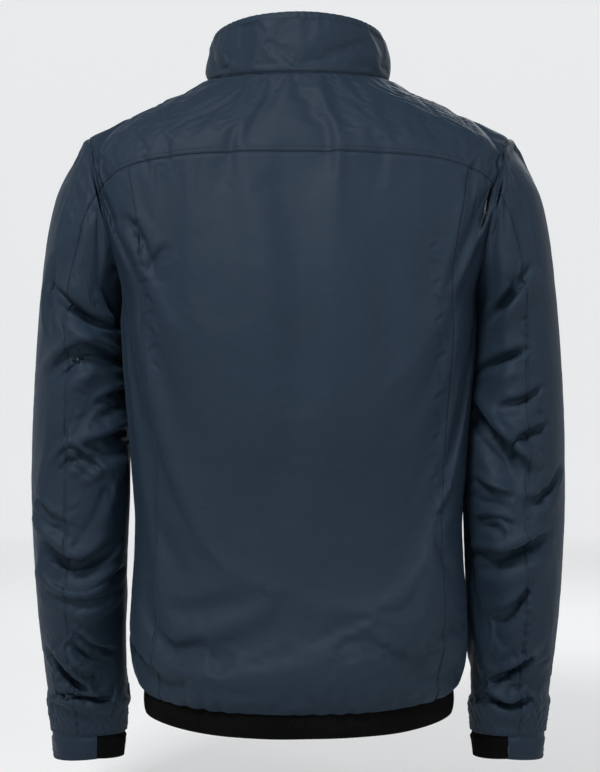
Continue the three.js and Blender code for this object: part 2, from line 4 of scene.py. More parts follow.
import bmesh
import bpy
import numpy as np
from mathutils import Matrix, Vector


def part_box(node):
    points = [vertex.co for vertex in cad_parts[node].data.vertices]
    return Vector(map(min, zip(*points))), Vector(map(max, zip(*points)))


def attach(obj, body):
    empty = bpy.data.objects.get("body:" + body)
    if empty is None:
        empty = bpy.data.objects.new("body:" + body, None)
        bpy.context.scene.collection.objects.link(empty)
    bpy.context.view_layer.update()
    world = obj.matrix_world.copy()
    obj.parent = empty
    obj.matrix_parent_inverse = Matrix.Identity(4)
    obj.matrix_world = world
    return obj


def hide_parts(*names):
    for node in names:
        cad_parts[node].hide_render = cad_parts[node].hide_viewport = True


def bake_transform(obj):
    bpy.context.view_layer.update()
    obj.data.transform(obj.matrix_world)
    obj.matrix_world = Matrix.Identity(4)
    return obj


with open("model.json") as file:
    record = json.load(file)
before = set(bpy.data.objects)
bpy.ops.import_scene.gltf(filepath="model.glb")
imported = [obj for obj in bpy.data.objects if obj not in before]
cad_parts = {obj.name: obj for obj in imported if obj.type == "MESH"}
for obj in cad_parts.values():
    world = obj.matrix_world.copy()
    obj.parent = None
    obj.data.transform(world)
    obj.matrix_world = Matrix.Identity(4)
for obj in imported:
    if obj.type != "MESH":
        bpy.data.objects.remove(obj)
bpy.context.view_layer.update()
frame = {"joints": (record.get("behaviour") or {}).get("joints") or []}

# Foul weather jacket, in metres: +Z up, the wearer's back faces +Y and their left is +X.
# The cut is worked out in millimetres, as the CAD model's is, and scaled by MM at the end.
MM = 0.001

# ---------- the cut, as in the CAD model ----------
joints = {j["name"]: j for j in frame["joints"]}
shoulder = np.array(joints["sleeve_raise_left"]["pos_m"]) / MM
SHOULDER_X, MID_Y, SHOULDER_Z = shoulder
UNDERARM_X, UNDERARM_Z = 190.0, -215.0
ARMHOLE_DEPTH = 82.0
HEM_TOP_Z = -652.0
HEM_LOW_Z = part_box("hem_rib")[0].z / MM
BODY_POWER = 0.8
ARMHOLE_CROWD = 1.9
NECK = dict(half=99, back=70, mid=-15, back_z=13, side_z=16, front_z=-12)
COLLAR_TOP = dict(half=95, back=62, mid=-20, back_z=78, side_z=73, front_z=58)
COLLAR_SWELL = 0.035
ZIP_TOP_Z, ZIP_TOP_DEPTH, ZIP_SLOPE = 56.0, 98.0, 0.065
ZIP_EDGE_X = 10.0
HEM_TAB_X = 48.0
FRONT_YOKE_Z = -128.0
BACK_YOKE_Z, BACK_YOKE_FALL, BACK_YOKE_POWER = -73, 46, 2.2
SIDE_SEAM_U = 0.6
BACK_SEAM_U = 4 / 9
CUFF_SPLIT_U = 0.53

# The body and the rib by height: height, half width, depth behind the side seam.
BODY_ROWS = np.array([
    [-652, 171, 127], [-638, 178, 137], [-606, 183, 146], [-577, 183, 143], [-511, 178, 134],
    [-445, 176, 131], [-334, 184, 138], [-273, 190, 142], [-240, 191, 143], [-215, 190, 142],
    [-150, 190, 135], [-110, 190, 126], [-48, 190, 104],
], float)
RIB_ROWS = np.array([[-681, 168, 123], [-667, 170, 125], [-652, 169, 124]], float)
# The sleeve down the arm: row, outer x and z, inner x and z, half depth, forward lean.
SLEEVE_ROWS = np.array([
    [0, 228, -48, 190, -215, 82, 0], [1, 248, -71, 192, -221, 83, 0],
    [2, 263, -96, 195, -228, 84, 0], [3, 273, -128, 197, -236, 84, 0],
    [4, 280, -170, 198, -246, 83, 0], [5, 285, -215, 197, -262, 82, 0],
    [6, 290, -275, 195, -295, 80, 0], [7, 294, -350, 189, -355, 77, 0],
    [8, 295, -440, 184, -440, 74, 0], [9, 293, -515, 187, -515, 69, 8],
    [10, 289, -580, 189, -580, 62, 17], [11, 284, -640, 189, -640, 53, 25],
    [12, 277, -694, 191, -694, 42, 31], [13, 273, -730, 195, -730, 36, 34],
], float)
CUFF_ROW, END_ROW = 12, 13
QUARTER = math.pi / 2
MIRROR = np.array([-1, 1, 1])


def lerp(a, b, t):
    return a + (b - a) * t


def read_rows(rows, column, x):
    """A column of rows read smoothly at x, held level past both ends."""
    keys, values = rows[:, 0], rows[:, column]
    x = np.clip(np.asarray(x, float), keys[0], keys[-1])
    i = np.clip(np.searchsorted(keys, x, side="right") - 1, 0, len(keys) - 2)
    before = np.maximum(np.arange(len(keys)) - 1, 0)
    after = np.minimum(np.arange(len(keys)) + 1, len(keys) - 1)
    slope = (values[after] - values[before]) / (keys[after] - keys[before])
    span = keys[i + 1] - keys[i]
    t = (x - keys[i]) / span
    return (
        (2 * t**3 - 3 * t**2 + 1) * values[i] + (t**3 - 2 * t**2 + t) * slope[i] * span
        + (3 * t**2 - 2 * t**3) * values[i + 1] + (t**3 - t**2) * slope[i + 1] * span
    )


def zip_y(z):
    return MID_Y - ZIP_TOP_DEPTH - (ZIP_TOP_Z - z) * ZIP_SLOPE


def armhole_x(z):
    return lerp(UNDERARM_X, SHOULDER_X, (z - UNDERARM_Z) / (SHOULDER_Z - UNDERARM_Z))


ARMHOLE_MID_Z = (SHOULDER_Z + UNDERARM_Z) / 2
ARMHOLE_HALF = (SHOULDER_Z - UNDERARM_Z) / 2


def armhole_half_depth(z):
    return ARMHOLE_DEPTH * np.sqrt(np.maximum(0, 1 - ((z - ARMHOLE_MID_Z) / ARMHOLE_HALF) ** 2))


def side_edge(rows, z, reach):
    """How far round a level ring its side edge lies, and the ring's half width: the edge is
    the side seam below the armhole, and the armhole's own edge beside it."""
    in_arm = z > UNDERARM_Z
    stop = np.arccos(np.clip(armhole_half_depth(z) / reach, 0, 1) ** (1 / BODY_POWER))
    edge = np.where(in_arm, stop, QUARTER)
    half = np.where(in_arm, armhole_x(z) / np.sin(edge) ** BODY_POWER, read_rows(rows, 1, z))
    return edge, half


def ring(rows, u, z, is_back):
    """A level ring: u runs from centre back (0) past the side (1) to centre front (2)."""
    u, z = np.broadcast_arrays(np.asarray(u, float), np.asarray(z, float))
    reach = read_rows(rows, 2, z) if is_back else MID_Y - zip_y(z)
    share = np.minimum(np.abs(u), 2 - np.abs(u))
    edge, half = side_edge(rows, z, reach)
    turn = share * QUARTER - (QUARTER - edge) * share**ARMHOLE_CROWD
    x = np.sign(u) * half * np.sin(turn) ** BODY_POWER
    y = reach * np.maximum(0, np.cos(turn)) ** BODY_POWER
    return np.stack([x, MID_Y + (y if is_back else -y), z], -1)


def neck(shape, u, is_back):
    turn = np.minimum(np.abs(u), 2 - np.abs(u)) * QUARTER
    end_z = shape["back_z"] if is_back else shape["front_z"]
    end_y = MID_Y + shape["back"] if is_back else zip_y(shape["front_z"])
    side_y = MID_Y + shape["mid"]
    x = np.sign(u) * shape["half"] * np.sin(turn)
    return np.stack(
        [x, lerp(side_y, end_y, np.cos(turn)), lerp(shape["side_z"], end_z, np.cos(turn) ** 2)], -1
    )


def torso(u, h, is_back):
    """The torso's surface: h is a height below the shoulder tips, then 0 to 1 up to the neck."""
    body = ring(BODY_ROWS, u, SHOULDER_Z + np.minimum(h, 0), is_back)
    over = np.clip(h, 0, 1)[..., None]
    return body * (1 - over) + neck(NECK, u, is_back) * over


def collar(u, w, is_back):
    w = np.asarray(w, float)
    share = w[..., None]
    point = neck(NECK, u, is_back) * (1 - share) + neck(COLLAR_TOP, u, is_back) * share
    point[..., 0] *= 1 + COLLAR_SWELL * np.sin(math.pi * w)
    return point


def front_u(x, half, power):
    return 2 - np.arcsin((x / half) ** (1 / power)) / QUARTER


def torso_front_u(x, h):
    z = SHOULDER_Z + np.minimum(h, 0)
    _, half = side_edge(BODY_ROWS, z, MID_Y - zip_y(z))
    over = np.clip(h, 0, 1)
    return front_u(x, half, BODY_POWER) * (1 - over) + front_u(x, NECK["half"], 1) * over


def yoke_z(u):
    return BACK_YOKE_Z - BACK_YOKE_FALL * np.abs(u) ** BACK_YOKE_POWER


def arm_angle(z):
    return np.arccos(np.clip((ARMHOLE_MID_Z - z) / ARMHOLE_HALF, -1, 1))


def rise(top_z, body_rows, arm_rows):
    """h from the hem to top_z, a row for each top_z: even to the underarm, then by angle."""
    top_z = np.atleast_1d(top_z)[:, None]
    low = lerp(HEM_TOP_Z, UNDERARM_Z, np.linspace(0, 1, body_rows + 1))[None, :]
    low = np.repeat(low, len(top_z), 0)
    angle = arm_angle(top_z) * np.linspace(0, 1, arm_rows + 1)[None, 1:]
    high = ARMHOLE_MID_Z - ARMHOLE_HALF * np.cos(angle)
    return np.concatenate([low, high], 1) - SHOULDER_Z


def climb(low_z, arm_rows, over_rows):
    """h from low_z up the armhole and over the shoulder to the neck."""
    low = arm_angle(np.atleast_1d(low_z))[:, None]
    angle = low + (math.pi - low) * np.linspace(0, 1, arm_rows + 1)[None, :]
    high = ARMHOLE_MID_Z - ARMHOLE_HALF * np.cos(angle) - SHOULDER_Z
    over = np.repeat(np.linspace(0, 1, over_rows + 1)[None, 1:], len(high), 0)
    return np.concatenate([high, over], 1)


def sleeve(u, row):
    """The sleeve's surface: u counts half turns from the outer fold over the back of the arm."""
    read = [read_rows(SLEEVE_ROWS, c, row) for c in range(7)]
    turn = u * math.pi
    mid_x, mid_z = (read[1] + read[3]) / 2, (read[2] + read[4]) / 2
    reach_x, reach_z = (read[1] - read[3]) / 2, (read[2] - read[4]) / 2
    return np.stack(
        [mid_x + reach_x * np.cos(turn), MID_Y - read[6] + read[5] * np.sin(turn),
         mid_z + reach_z * np.cos(turn)], -1
    )


# ---------- grids ----------
def grid_normals(points, closed=False):
    """Outward normals of a grid whose first axis runs across and second runs up."""
    if closed:
        du = np.roll(points, -1, 0) - np.roll(points, 1, 0)
    else:
        du = np.gradient(points, axis=0)
    n = np.cross(np.gradient(points, axis=1), du)
    return n / np.maximum(np.linalg.norm(n, axis=-1, keepdims=True), 1e-9)


def cubic_steps(points, steps, axis):
    """points resampled along axis at fractional indices, smoothly."""
    p = np.moveaxis(points, axis, 0)
    p = np.concatenate([2 * p[:1] - p[1:2], p, 2 * p[-1:] - p[-2:-1]])
    i = np.clip(np.floor(steps).astype(int), 0, len(p) - 4)
    t = (steps - i).reshape((-1,) + (1,) * (p.ndim - 1))
    a, b, c, d = p[i], p[i + 1], p[i + 2], p[i + 3]
    square, cube = 2 * a - 5 * b + 4 * c - d, 3 * b - a - 3 * c + d
    out = 0.5 * (2 * b + (c - a) * t + square * t**2 + cube * t**3)
    return np.moveaxis(out, 0, axis)


def fine_steps(count, factor, seams):
    """Fractional indices over count cells, closer together beside each seam in seams."""
    beside = np.array([0.08, 0.17, 0.26])
    parts = [np.linspace(0, count, count * factor + 1)]
    for seam in seams:
        parts += [seam + beside, seam - beside]
    steps = np.unique(np.round(np.concatenate(parts), 4))
    return steps[(steps >= 0) & (steps <= count)]


def eased(t):
    t = np.clip(t, 0, 1)
    return t * t * (3 - 2 * t)


def smooth_path(points, count=28):
    """A smooth curve through points, as count points."""
    points = np.array(points, float)
    return cubic_steps(points, np.linspace(0, len(points) - 1, count), 0)


def fold_depth(x, z, folds):
    """How far cloth at (x, z) stands proud through folds of (width, depth, points)."""
    total = np.zeros(x.shape)
    for width, depth, points in folds:
        path = smooth_path(points)
        reach = 4.5 * width
        low, high = path.min(0) - reach, path.max(0) + reach
        near = (x > low[0]) & (x < high[0]) & (z > low[1]) & (z < high[1])
        if not near.any():
            continue
        spot = np.stack([x[near], z[near]], -1)[:, None, :]
        a, b = path[:-1][None], path[1:][None]
        run = b - a
        t = np.clip(((spot - a) * run).sum(-1) / (run**2).sum(-1), 0, 1)
        gap = spot - (a + run * t[..., None])
        far = np.linalg.norm(gap, axis=-1)
        k = far.argmin(1)
        pick = np.arange(len(k))
        side = np.sign(run[0, k, 0] * gap[pick, k, 1] - run[0, k, 1] * gap[pick, k, 0])
        off = side * far[pick, k] / width
        along = (k + t[pick, k]) / (len(path) - 1)
        taper = np.clip(np.sin(math.pi * along), 0, 1) ** 0.7
        past = np.where((along <= 0) | (along >= 1), 0, 1)
        shape = -np.exp(-(off**2)) + 0.6 * np.exp(-(((off - 1.9) / 1.1) ** 2))
        shape = shape + 0.35 * np.exp(-(((off + 2.1) / 1.3) ** 2))
        total[near] += depth * shape * taper * past
    return total


def ripple(points, scale, seed):
    """Smooth noise from -1 to 1 at each point, with features about scale mm across."""
    out = np.zeros(points.shape[:-1])
    rng = np.random.default_rng(seed)
    for _ in range(14):
        wave = rng.normal(size=3) * 2.2 / scale
        out += np.sin(points @ wave + rng.uniform(0, 2 * math.pi))
    return out / math.sqrt(14)


def make_object(name, vertices, faces, normals=None):
    mesh = bpy.data.meshes.new(name)
    mesh.from_pydata(np.asarray(vertices).tolist(), [], np.asarray(faces).tolist())
    mesh.update()
    mesh.polygons.foreach_set("use_smooth", [True] * len(mesh.polygons))
    if normals is not None:
        mesh.normals_split_custom_set_from_vertices(np.asarray(normals).tolist())
    obj = bpy.data.objects.new(name, mesh)
    bpy.context.collection.objects.link(obj)
    return obj


def grid_faces(nu, nv, closed=False, offset=0, flip=False):
    """Quads of a grid of nu by nv points, wound to face out."""
    i, j = np.meshgrid(np.arange(nu if closed else nu - 1), np.arange(nv - 1), indexing="ij")
    k = (i + 1) % nu
    a, b, c, d = i * nv + j, i * nv + j + 1, k * nv + j + 1, k * nv + j
    quads = np.stack([a, b, c, d] if not flip else [a, d, c, b], -1).reshape(-1, 4)
    return quads + offset


def sheet_object(name, points, normals, thickness, closed=False):
    """A cloth piece with real thickness from a grid of outer points and their normals, in mm."""
    nu, nv = points.shape[:2]
    count = nu * nv
    inside = points - normals * thickness
    verts = np.concatenate([points.reshape(-1, 3), inside.reshape(-1, 3)]) * MM
    flat_normals = normals.reshape(-1, 3)
    faces = [grid_faces(nu, nv, closed), grid_faces(nu, nv, closed, count, flip=True)]
    i = np.arange(nu if closed else nu - 1)
    k = (i + 1) % nu
    faces.append(np.stack([i * nv, k * nv, k * nv + count, i * nv + count], -1))
    top, top2 = i * nv + nv - 1, k * nv + nv - 1
    faces.append(np.stack([top, top + count, top2 + count, top2], -1))
    if not closed:
        j = np.arange(nv - 1)
        faces.append(np.stack([j, j + count, j + 1 + count, j + 1], -1))
        e = (nu - 1) * nv + j
        faces.append(np.stack([e, e + 1, e + 1 + count, e + count], -1))
    shade = np.concatenate([flat_normals, -flat_normals])
    return make_object(f"{name}_cloth", verts, np.concatenate(faces), shade)


# ---------- cloth simulation ----------
def settle(grids, pins, expand, frames, gravity=0.15, pressure=0.0, closed=False, most=12.0):
    """Cloth that is a little too large for its seams, left to buckle. pins is 1 where it is
    sewn down, and most is the furthest that a point may move, in mm."""
    points = np.concatenate([g.reshape(-1, 3) for g in grids])
    _, first, inverse = np.unique(
        np.round(points, 1), axis=0, return_index=True, return_inverse=True
    )
    inverse = inverse.reshape(-1)
    faces, offset = [], 0
    for g in grids:
        faces.append(inverse[grid_faces(g.shape[0], g.shape[1], closed, offset)])
        offset += g.shape[0] * g.shape[1]
    faces = np.concatenate(faces)
    faces = faces[[len(set(f)) == 4 for f in faces.tolist()]]
    obj = make_object("settling", points[first] * MM, faces)
    weight = np.zeros(len(first))
    np.maximum.at(weight, inverse, np.concatenate([p.reshape(-1) for p in pins]))
    group = obj.vertex_groups.new(name="sewn")
    weight = np.round(weight, 2)
    for value in np.unique(weight[weight > 0]):
        group.add(np.flatnonzero(weight == value).tolist(), float(value), "REPLACE")
    modifier = obj.modifiers.new("cloth", "CLOTH")
    cloth = modifier.settings
    cloth.quality = 5
    cloth.mass = 0.15
    cloth.tension_stiffness = cloth.compression_stiffness = 20
    cloth.shear_stiffness = 8
    cloth.bending_stiffness = 0.25
    cloth.air_damping = 1
    cloth.vertex_group_mass = "sewn"
    cloth.shrink_min = -expand
    cloth.effector_weights.gravity = gravity
    if pressure:
        cloth.use_pressure = True
        cloth.uniform_pressure_force = pressure
    modifier.collision_settings.use_collision = False
    modifier.point_cache.frame_end = frames
    scene = bpy.context.scene
    for frame_number in range(1, frames + 1):
        scene.frame_set(frame_number)
    moved = obj.evaluated_get(bpy.context.evaluated_depsgraph_get()).data
    settled = np.empty(len(first) * 3, np.float32)
    moved.vertices.foreach_get("co", settled)
    settled = settled.reshape(-1, 3).astype(float) / MM
    bpy.data.objects.remove(obj)
    scene.frame_set(1)
    shift = settled - points[first]
    size = np.linalg.norm(shift, axis=-1, keepdims=True)
    settled = points[first] + shift * (most * np.tanh(size / most) / np.maximum(size, 1e-6))
    out, start = [], 0
    for g in grids:
        count = g.shape[0] * g.shape[1]
        out.append(settled[inverse[start : start + count]].reshape(g.shape))
        start += count
    return out


# ---------- materials ----------
def principled(name, color, roughness, **inputs):
    material = bpy.data.materials.new(name)
    material.use_nodes = True
    shader = material.node_tree.nodes["Principled BSDF"]
    shader.inputs["Base Color"].default_value = (*color, 1)
    shader.inputs["Roughness"].default_value = roughness
    for key, value in inputs.items():
        shader.inputs[key.replace("_", " ")].default_value = value
    return material, shader


class Nodes:
    """Short names for adding and linking the nodes of one material."""

    def __init__(self, material):
        self.tree = material.node_tree
        coords = self.add("ShaderNodeTexCoord")
        self.place = coords.outputs["Object"]

    def add(self, kind, **values):
        node = self.tree.nodes.new(kind)
        for key, value in values.items():
            if hasattr(node, key):
                setattr(node, key, value)
            else:
                node.inputs[key.replace("_", " ")].default_value = value
        return node

    def link(self, output, node, socket):
        self.tree.links.new(output, node.inputs[socket])

    def noise(self, scale, detail, stretch=(1, 1, 1)):
        mapping = self.add("ShaderNodeMapping")
        mapping.inputs["Scale"].default_value = stretch
        self.link(self.place, mapping, "Vector")
        node = self.add("ShaderNodeTexNoise", Scale=scale, Detail=detail)
        self.link(mapping.outputs["Vector"], node, "Vector")
        return node.outputs["Fac"]

    def wave(self, scale, direction, distortion=0.4):
        node = self.add(
            "ShaderNodeTexWave", bands_direction=direction, Scale=scale, Distortion=distortion
        )
        self.link(self.place, node, "Vector")
        return node.outputs["Fac"]

    def math(self, operation, a, b):
        node = self.add("ShaderNodeMath", operation=operation)
        for index, value in enumerate((a, b)):
            if isinstance(value, (int, float)):
                node.inputs[index].default_value = value
            else:
                self.link(value, node, index)
        return node.outputs[0]

    def scaled(self, value, factor, offset):
        return self.math("ADD", self.math("MULTIPLY", value, factor), offset)

    def mix(self, a, share_a, b, share_b):
        """The sum of two values, each times its share."""
        first = self.math("MULTIPLY", a, share_a)
        return self.math("ADD", first, self.math("MULTIPLY", b, share_b))

    def ramp(self, factor, low, high, dark, light):
        node = self.add("ShaderNodeValToRGB")
        first, last = node.color_ramp.elements
        first.position, last.position = low, high
        first.color, last.color = (*dark, 1), (*light, 1)
        self.link(factor, node, "Fac")
        return node.outputs["Color"]

    def bump(self, height, strength, distance):
        node = self.add("ShaderNodeBump", Strength=strength, Distance=distance)
        self.link(height, node, "Height")
        return node.outputs["Normal"]


ROUGH_SPREAD = 0.06


def cloth_material(name, dark, light, roughness, weave, relief, grain=(1, 1, 9), **inputs):
    """Woven cloth: slubs along the weft, faint patches of wear, and a woven relief."""
    material, shader = principled(name, dark, roughness, **inputs)
    nodes = Nodes(material)
    slub = nodes.noise(130, 4, grain)
    patches = nodes.noise(7, 3)
    mixed = nodes.mix(slub, 0.6, patches, 0.4)
    nodes.link(nodes.ramp(mixed, 0.38, 0.62, dark, light), shader, "Base Color")
    rough = nodes.scaled(mixed, 2 * ROUGH_SPREAD, roughness - ROUGH_SPREAD)
    nodes.link(rough, shader, "Roughness")
    threads = nodes.mix(nodes.wave(weave, "Z"), 0.4, nodes.wave(weave, "X"), 0.25)
    height = nodes.math("ADD", threads, nodes.math("MULTIPLY", slub, 0.9))
    nodes.link(nodes.bump(height, relief, 0.0003), shader, "Normal")
    return material


def knit_material(name, dark, light):
    """Ribbed elastic: fine knit with lint on it."""
    material, shader = principled(name, dark, 0.78, Specular_IOR_Level=0.04)
    nodes = Nodes(material)
    lint = nodes.noise(420, 3)
    cloudy = nodes.noise(16, 2)
    mixed = nodes.mix(lint, 0.6, cloudy, 0.4)
    nodes.link(nodes.ramp(mixed, 0.4, 0.65, dark, light), shader, "Base Color")
    courses = nodes.wave(420, "Z", 1.0)
    nodes.link(nodes.bump(nodes.math("ADD", courses, lint), 0.5, 0.0003), shader, "Normal")
    return material


def fleece_material(name, dark, light):
    """Short soft pile in small tufts."""
    material, shader = principled(name, dark, 0.95, Specular_IOR_Level=0.1, Sheen_Weight=0.15)
    nodes = Nodes(material)
    tufts = nodes.noise(330, 6)
    nodes.link(nodes.ramp(tufts, 0.35, 0.7, dark, light), shader, "Base Color")
    nodes.link(nodes.bump(tufts, 0.9, 0.0012), shader, "Normal")
    return material


def hard_material(name, dark, light, roughness, metallic, scratches):
    """Moulded plastic or cast metal: a fine mould texture, and edges and faces rubbed lighter."""
    material, shader = principled(name, dark, roughness, Metallic=metallic)
    nodes = Nodes(material)
    rubbed = nodes.noise(240, 5, (1, 1, 0.25))
    nodes.link(nodes.ramp(rubbed, 0.45, 0.75, dark, light), shader, "Base Color")
    rough = nodes.scaled(rubbed, scratches, roughness - scratches / 2)
    nodes.link(rough, shader, "Roughness")
    nodes.link(nodes.bump(nodes.noise(1600, 2), 0.25, 0.0001), shader, "Normal")
    return material


shell_mat = cloth_material(
    "shell_cloth", (0.0098, 0.0182, 0.0300), (0.0122, 0.0225, 0.0365), 0.6, 300, 0.2,
    Specular_IOR_Level=0.11, Sheen_Weight=0.04, Sheen_Roughness=0.4, Sheen_Tint=(0.4, 0.6, 0.9, 1),
)
thread_mat = cloth_material(
    "thread", (0.009, 0.016, 0.026), (0.015, 0.026, 0.040), 0.55, 900, 0.5, Specular_IOR_Level=0.2,
)
elastic_mat = knit_material("elastic_knit", (0.0013, 0.0013, 0.0014), (0.0032, 0.0032, 0.0034))
fleece_mat = fleece_material("fleece", (0.008, 0.012, 0.018), (0.020, 0.027, 0.037))
lining_mat = cloth_material(
    "satin_lining", (0.008, 0.013, 0.020), (0.011, 0.017, 0.026), 0.38, 360, 0.1,
    Specular_IOR_Level=0.25,
)
tape_mat = cloth_material(
    "zip_tape", (0.006, 0.009, 0.014), (0.012, 0.016, 0.023), 0.7, 700, 0.5, (9, 9, 1),
)
plastic_mat = hard_material(
    "zip_plastic", (0.006, 0.008, 0.011), (0.016, 0.020, 0.026), 0.36, 0, 0.16,
)
metal_mat = hard_material("zip_metal", (0.055, 0.060, 0.068), (0.22, 0.23, 0.25), 0.30, 1, 0.2)


def dress(obj, material, body, nodes=(), ride=True):
    """Gives a piece its material and, unless ride is false, its body, and hides the CAD nodes it
    stands for.
    """
    obj.data.materials.clear()
    obj.data.materials.append(material)
    if nodes:
        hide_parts(*nodes)
    if ride:
        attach(obj, body)
    return obj


# ---------- camera, light and floor ----------
camera_data = bpy.data.cameras.new("camera")
camera_data.lens = 109.1
camera_data.sensor_width = 36
camera_data.sensor_fit = "HORIZONTAL"
camera_data.shift_x = 0.0025
camera = bpy.data.objects.new("camera", camera_data)
camera.location = (0, MID_Y * MM + 2.0, -0.320)
camera.rotation_euler = (QUARTER, 0, math.pi)
bpy.context.collection.objects.link(camera)
bpy.context.scene.camera = camera

FLOOR_Z = -0.80
bpy.context.scene.view_settings.view_transform = "Standard"
world = bpy.data.worlds.new("studio")
bpy.context.scene.world = world
world.use_nodes = True
world.node_tree.nodes["Background"].inputs["Color"].default_value = (0.97, 0.98, 1, 1)
world.node_tree.nodes["Background"].inputs["Strength"].default_value = 0.14


def area_light(name, location, target, size, power):
    data = bpy.data.lights.new(name, "AREA")
    data.shape = "RECTANGLE"
    data.size, data.size_y = size
    data.energy = power
    light = bpy.data.objects.new(name, data)
    light.location = location
    light.rotation_euler = (Vector(target) - Vector(location)).to_track_quat("-Z", "Y").to_euler()
    bpy.context.collection.objects.link(light)


area_light("key", (0.7, 1.6, 1.5), (0, 0.1, -0.30), (0.6, 0.45), 64)
area_light("fill", (-1.8, 1.4, 0.7), (0, 0, -0.35), (0.5, 1.2), 10)
area_light("front", (-0.5, -2.0, 1.0), (0, -0.1, -0.35), (1.6, 1.0), 24)


def studio_dish():
    """A round floor that curves up into a wall, so that no horizon shows from any side."""
    flat, bend_radius, wall, spokes = 8.0, 6.0, 5.0, 96
    profile = [(flat * r / 8, 0.0) for r in range(1, 9)]
    for k in range(1, 17):
        angle = QUARTER * k / 16
        profile.append((flat + bend_radius * math.sin(angle), bend_radius * (1 - math.cos(angle))))
    profile.append((flat + bend_radius, bend_radius + wall))
    verts = [(0, 0, FLOOR_Z)]
    for radius, height in profile:
        for k in range(spokes):
            angle = 2 * math.pi * k / spokes
            verts.append((radius * math.cos(angle), radius * math.sin(angle), FLOOR_Z + height))
    faces = [(0, 1 + k, 1 + (k + 1) % spokes) for k in range(spokes)]
    for r in range(len(profile) - 1):
        low, high = 1 + r * spokes, 1 + (r + 1) * spokes
        for k in range(spokes):
            m = (k + 1) % spokes
            faces.append((low + k, high + k, high + m, low + m))
    mesh = bpy.data.meshes.new("floor")
    mesh.from_pydata(verts, [], faces)
    mesh.polygons.foreach_set("use_smooth", [True] * len(mesh.polygons))
    floor = bpy.data.objects.new("floor", mesh)
    bpy.context.collection.objects.link(floor)
    material, shader = principled("studio_floor", (0.46, 0.46, 0.46), 0.95, Specular_IOR_Level=0.1)
    # The floor and its wall glow as painted light: weakest within 1.2 m of y = 0, stronger further
    # out, and a little dimmer on the camera's side (+Y). The glow keeps the backdrop pale, softens the
    # jacket's floor shadow and lights the jacket from all round.
    shader.inputs["Emission Color"].default_value = (0.97, 0.985, 1, 1)
    nodes = Nodes(material)
    parts = nodes.add("ShaderNodeSeparateXYZ")
    nodes.link(nodes.place, parts, "Vector")
    distance = nodes.math("ABSOLUTE", parts.outputs["Y"], 0)
    glow = nodes.add("ShaderNodeMapRange", From_Min=1.2, From_Max=4.0, To_Min=0.37, To_Max=0.60)
    nodes.link(distance, glow, "Value")
    dim = nodes.add("ShaderNodeMapRange", From_Min=0.5, From_Max=4.0, To_Min=1.0, To_Max=0.85)
    nodes.link(parts.outputs["Y"], dim, "Value")
    strength = nodes.math("MULTIPLY", glow.outputs["Result"], dim.outputs["Result"])
    nodes.link(strength, shader, "Emission Strength")
    mesh.materials.append(material)


studio_dish()


# ---------- folds, as (width, depth, points) in mm on the x-z plane ----------
BACK_FOLDS = [
    (17, 4.2, [(28, -89), (4, -152), (-2, -335), (28, -439)]),
    (15, 2.6, [(-85, -152), (-94, -230), (-89, -324)]),
    (17, 4.0, [(138, -162), (146, -272), (136, -400)]),
    (14, 3.2, [(-146, -173), (-144, -261), (-154, -376)]),
    (6, 5.0, [(182, -142), (166, -160), (152, -196)]),
    (6, 3.6, [(155, -197), (147, -184), (134, -172)]),
    (6, 4.8, [(-194, -160), (-184, -190), (-168, -226)]),
    (8, 5.0, [(-140, -470), (-160, -518), (-180, -556)]),
    (6, 4.0, [(-140, -460), (-152, -450), (-164, -430)]),
    (11, 6.0, [(166, -525), (155, -567), (132, -592), (92, -584)]),
    (12, 3.4, [(148, -556), (103, -548), (30, -530)]),
    (18, 2.0, [(-2, -542), (61, -585), (130, -618)]),
    (18, 2.0, [(-33, -554), (-96, -596), (-152, -618)]),
    (9, 3.6, [(160, -452), (136, -481), (122, -520)]),
    (9, 2.6, [(-22, 2), (-56, -15), (-98, -28)]),
    (8, 2.0, [(2, -18), (-33, -26), (-80, -42)]),
    (11, 2.6, [(55, -10), (90, -26), (138, -48)]),
    (11, 2.4, [(-95, -38), (-137, -50), (-186, -74)]),
]
FRONT_FOLDS = [
    (16, 3.6, [(120, -150), (112, -260), (126, -380)]),
    (15, 3.2, [(60, -160), (52, -280), (66, -400)]),
    (7, 4.4, [(186, -150), (168, -172), (150, -206)]),
    (6, 3.6, [(160, -214), (146, -196), (124, -184)]),
    (11, 4.6, [(168, -520), (150, -566), (118, -592), (70, -590)]),
    (13, 3.2, [(40, -560), (90, -592), (146, -604)]),
    (11, 2.4, [(100, -6), (128, -26), (168, -56)]),
    (10, 2.6, [(150, -430), (166, -470), (172, -510)]),
]
LEFT_SLEEVE_FOLDS = [
    (8, 6.0, [(266, -208), (242, -234), (218, -252), (184, -258)]),
    (9, 6.5, [(268, -312), (248, -291), (225, -280), (202, -288), (174, -306)]),
    (7, 5.5, [(216, -340), (193, -328), (168, -320)]),
    (9, 6.5, [(234, -386), (200, -377), (162, -358)]),
    (5, 4.5, [(262, -405), (243, -386), (225, -397), (202, -416)]),
    (10, 8.0, [(274, -486), (251, -507), (223, -508), (192, -484)]),
    (8, 4.6, [(274, -522), (240, -536), (210, -533), (180, -514)]),
    (7, 4.6, [(246, -582), (223, -602), (196, -612)]),
    (7, 4.6, [(276, -604), (253, -632), (226, -656)]),
    (5, 4.0, [(268, -650), (236, -659), (202, -664)]),
    (8, 4.0, [(258, -176), (264, -229), (262, -268)]),
    (6, 4.6, [(208, -214), (198, -244), (186, -268)]),
    (6, 3.6, [(284, -438), (266, -456), (243, -468)]),
]
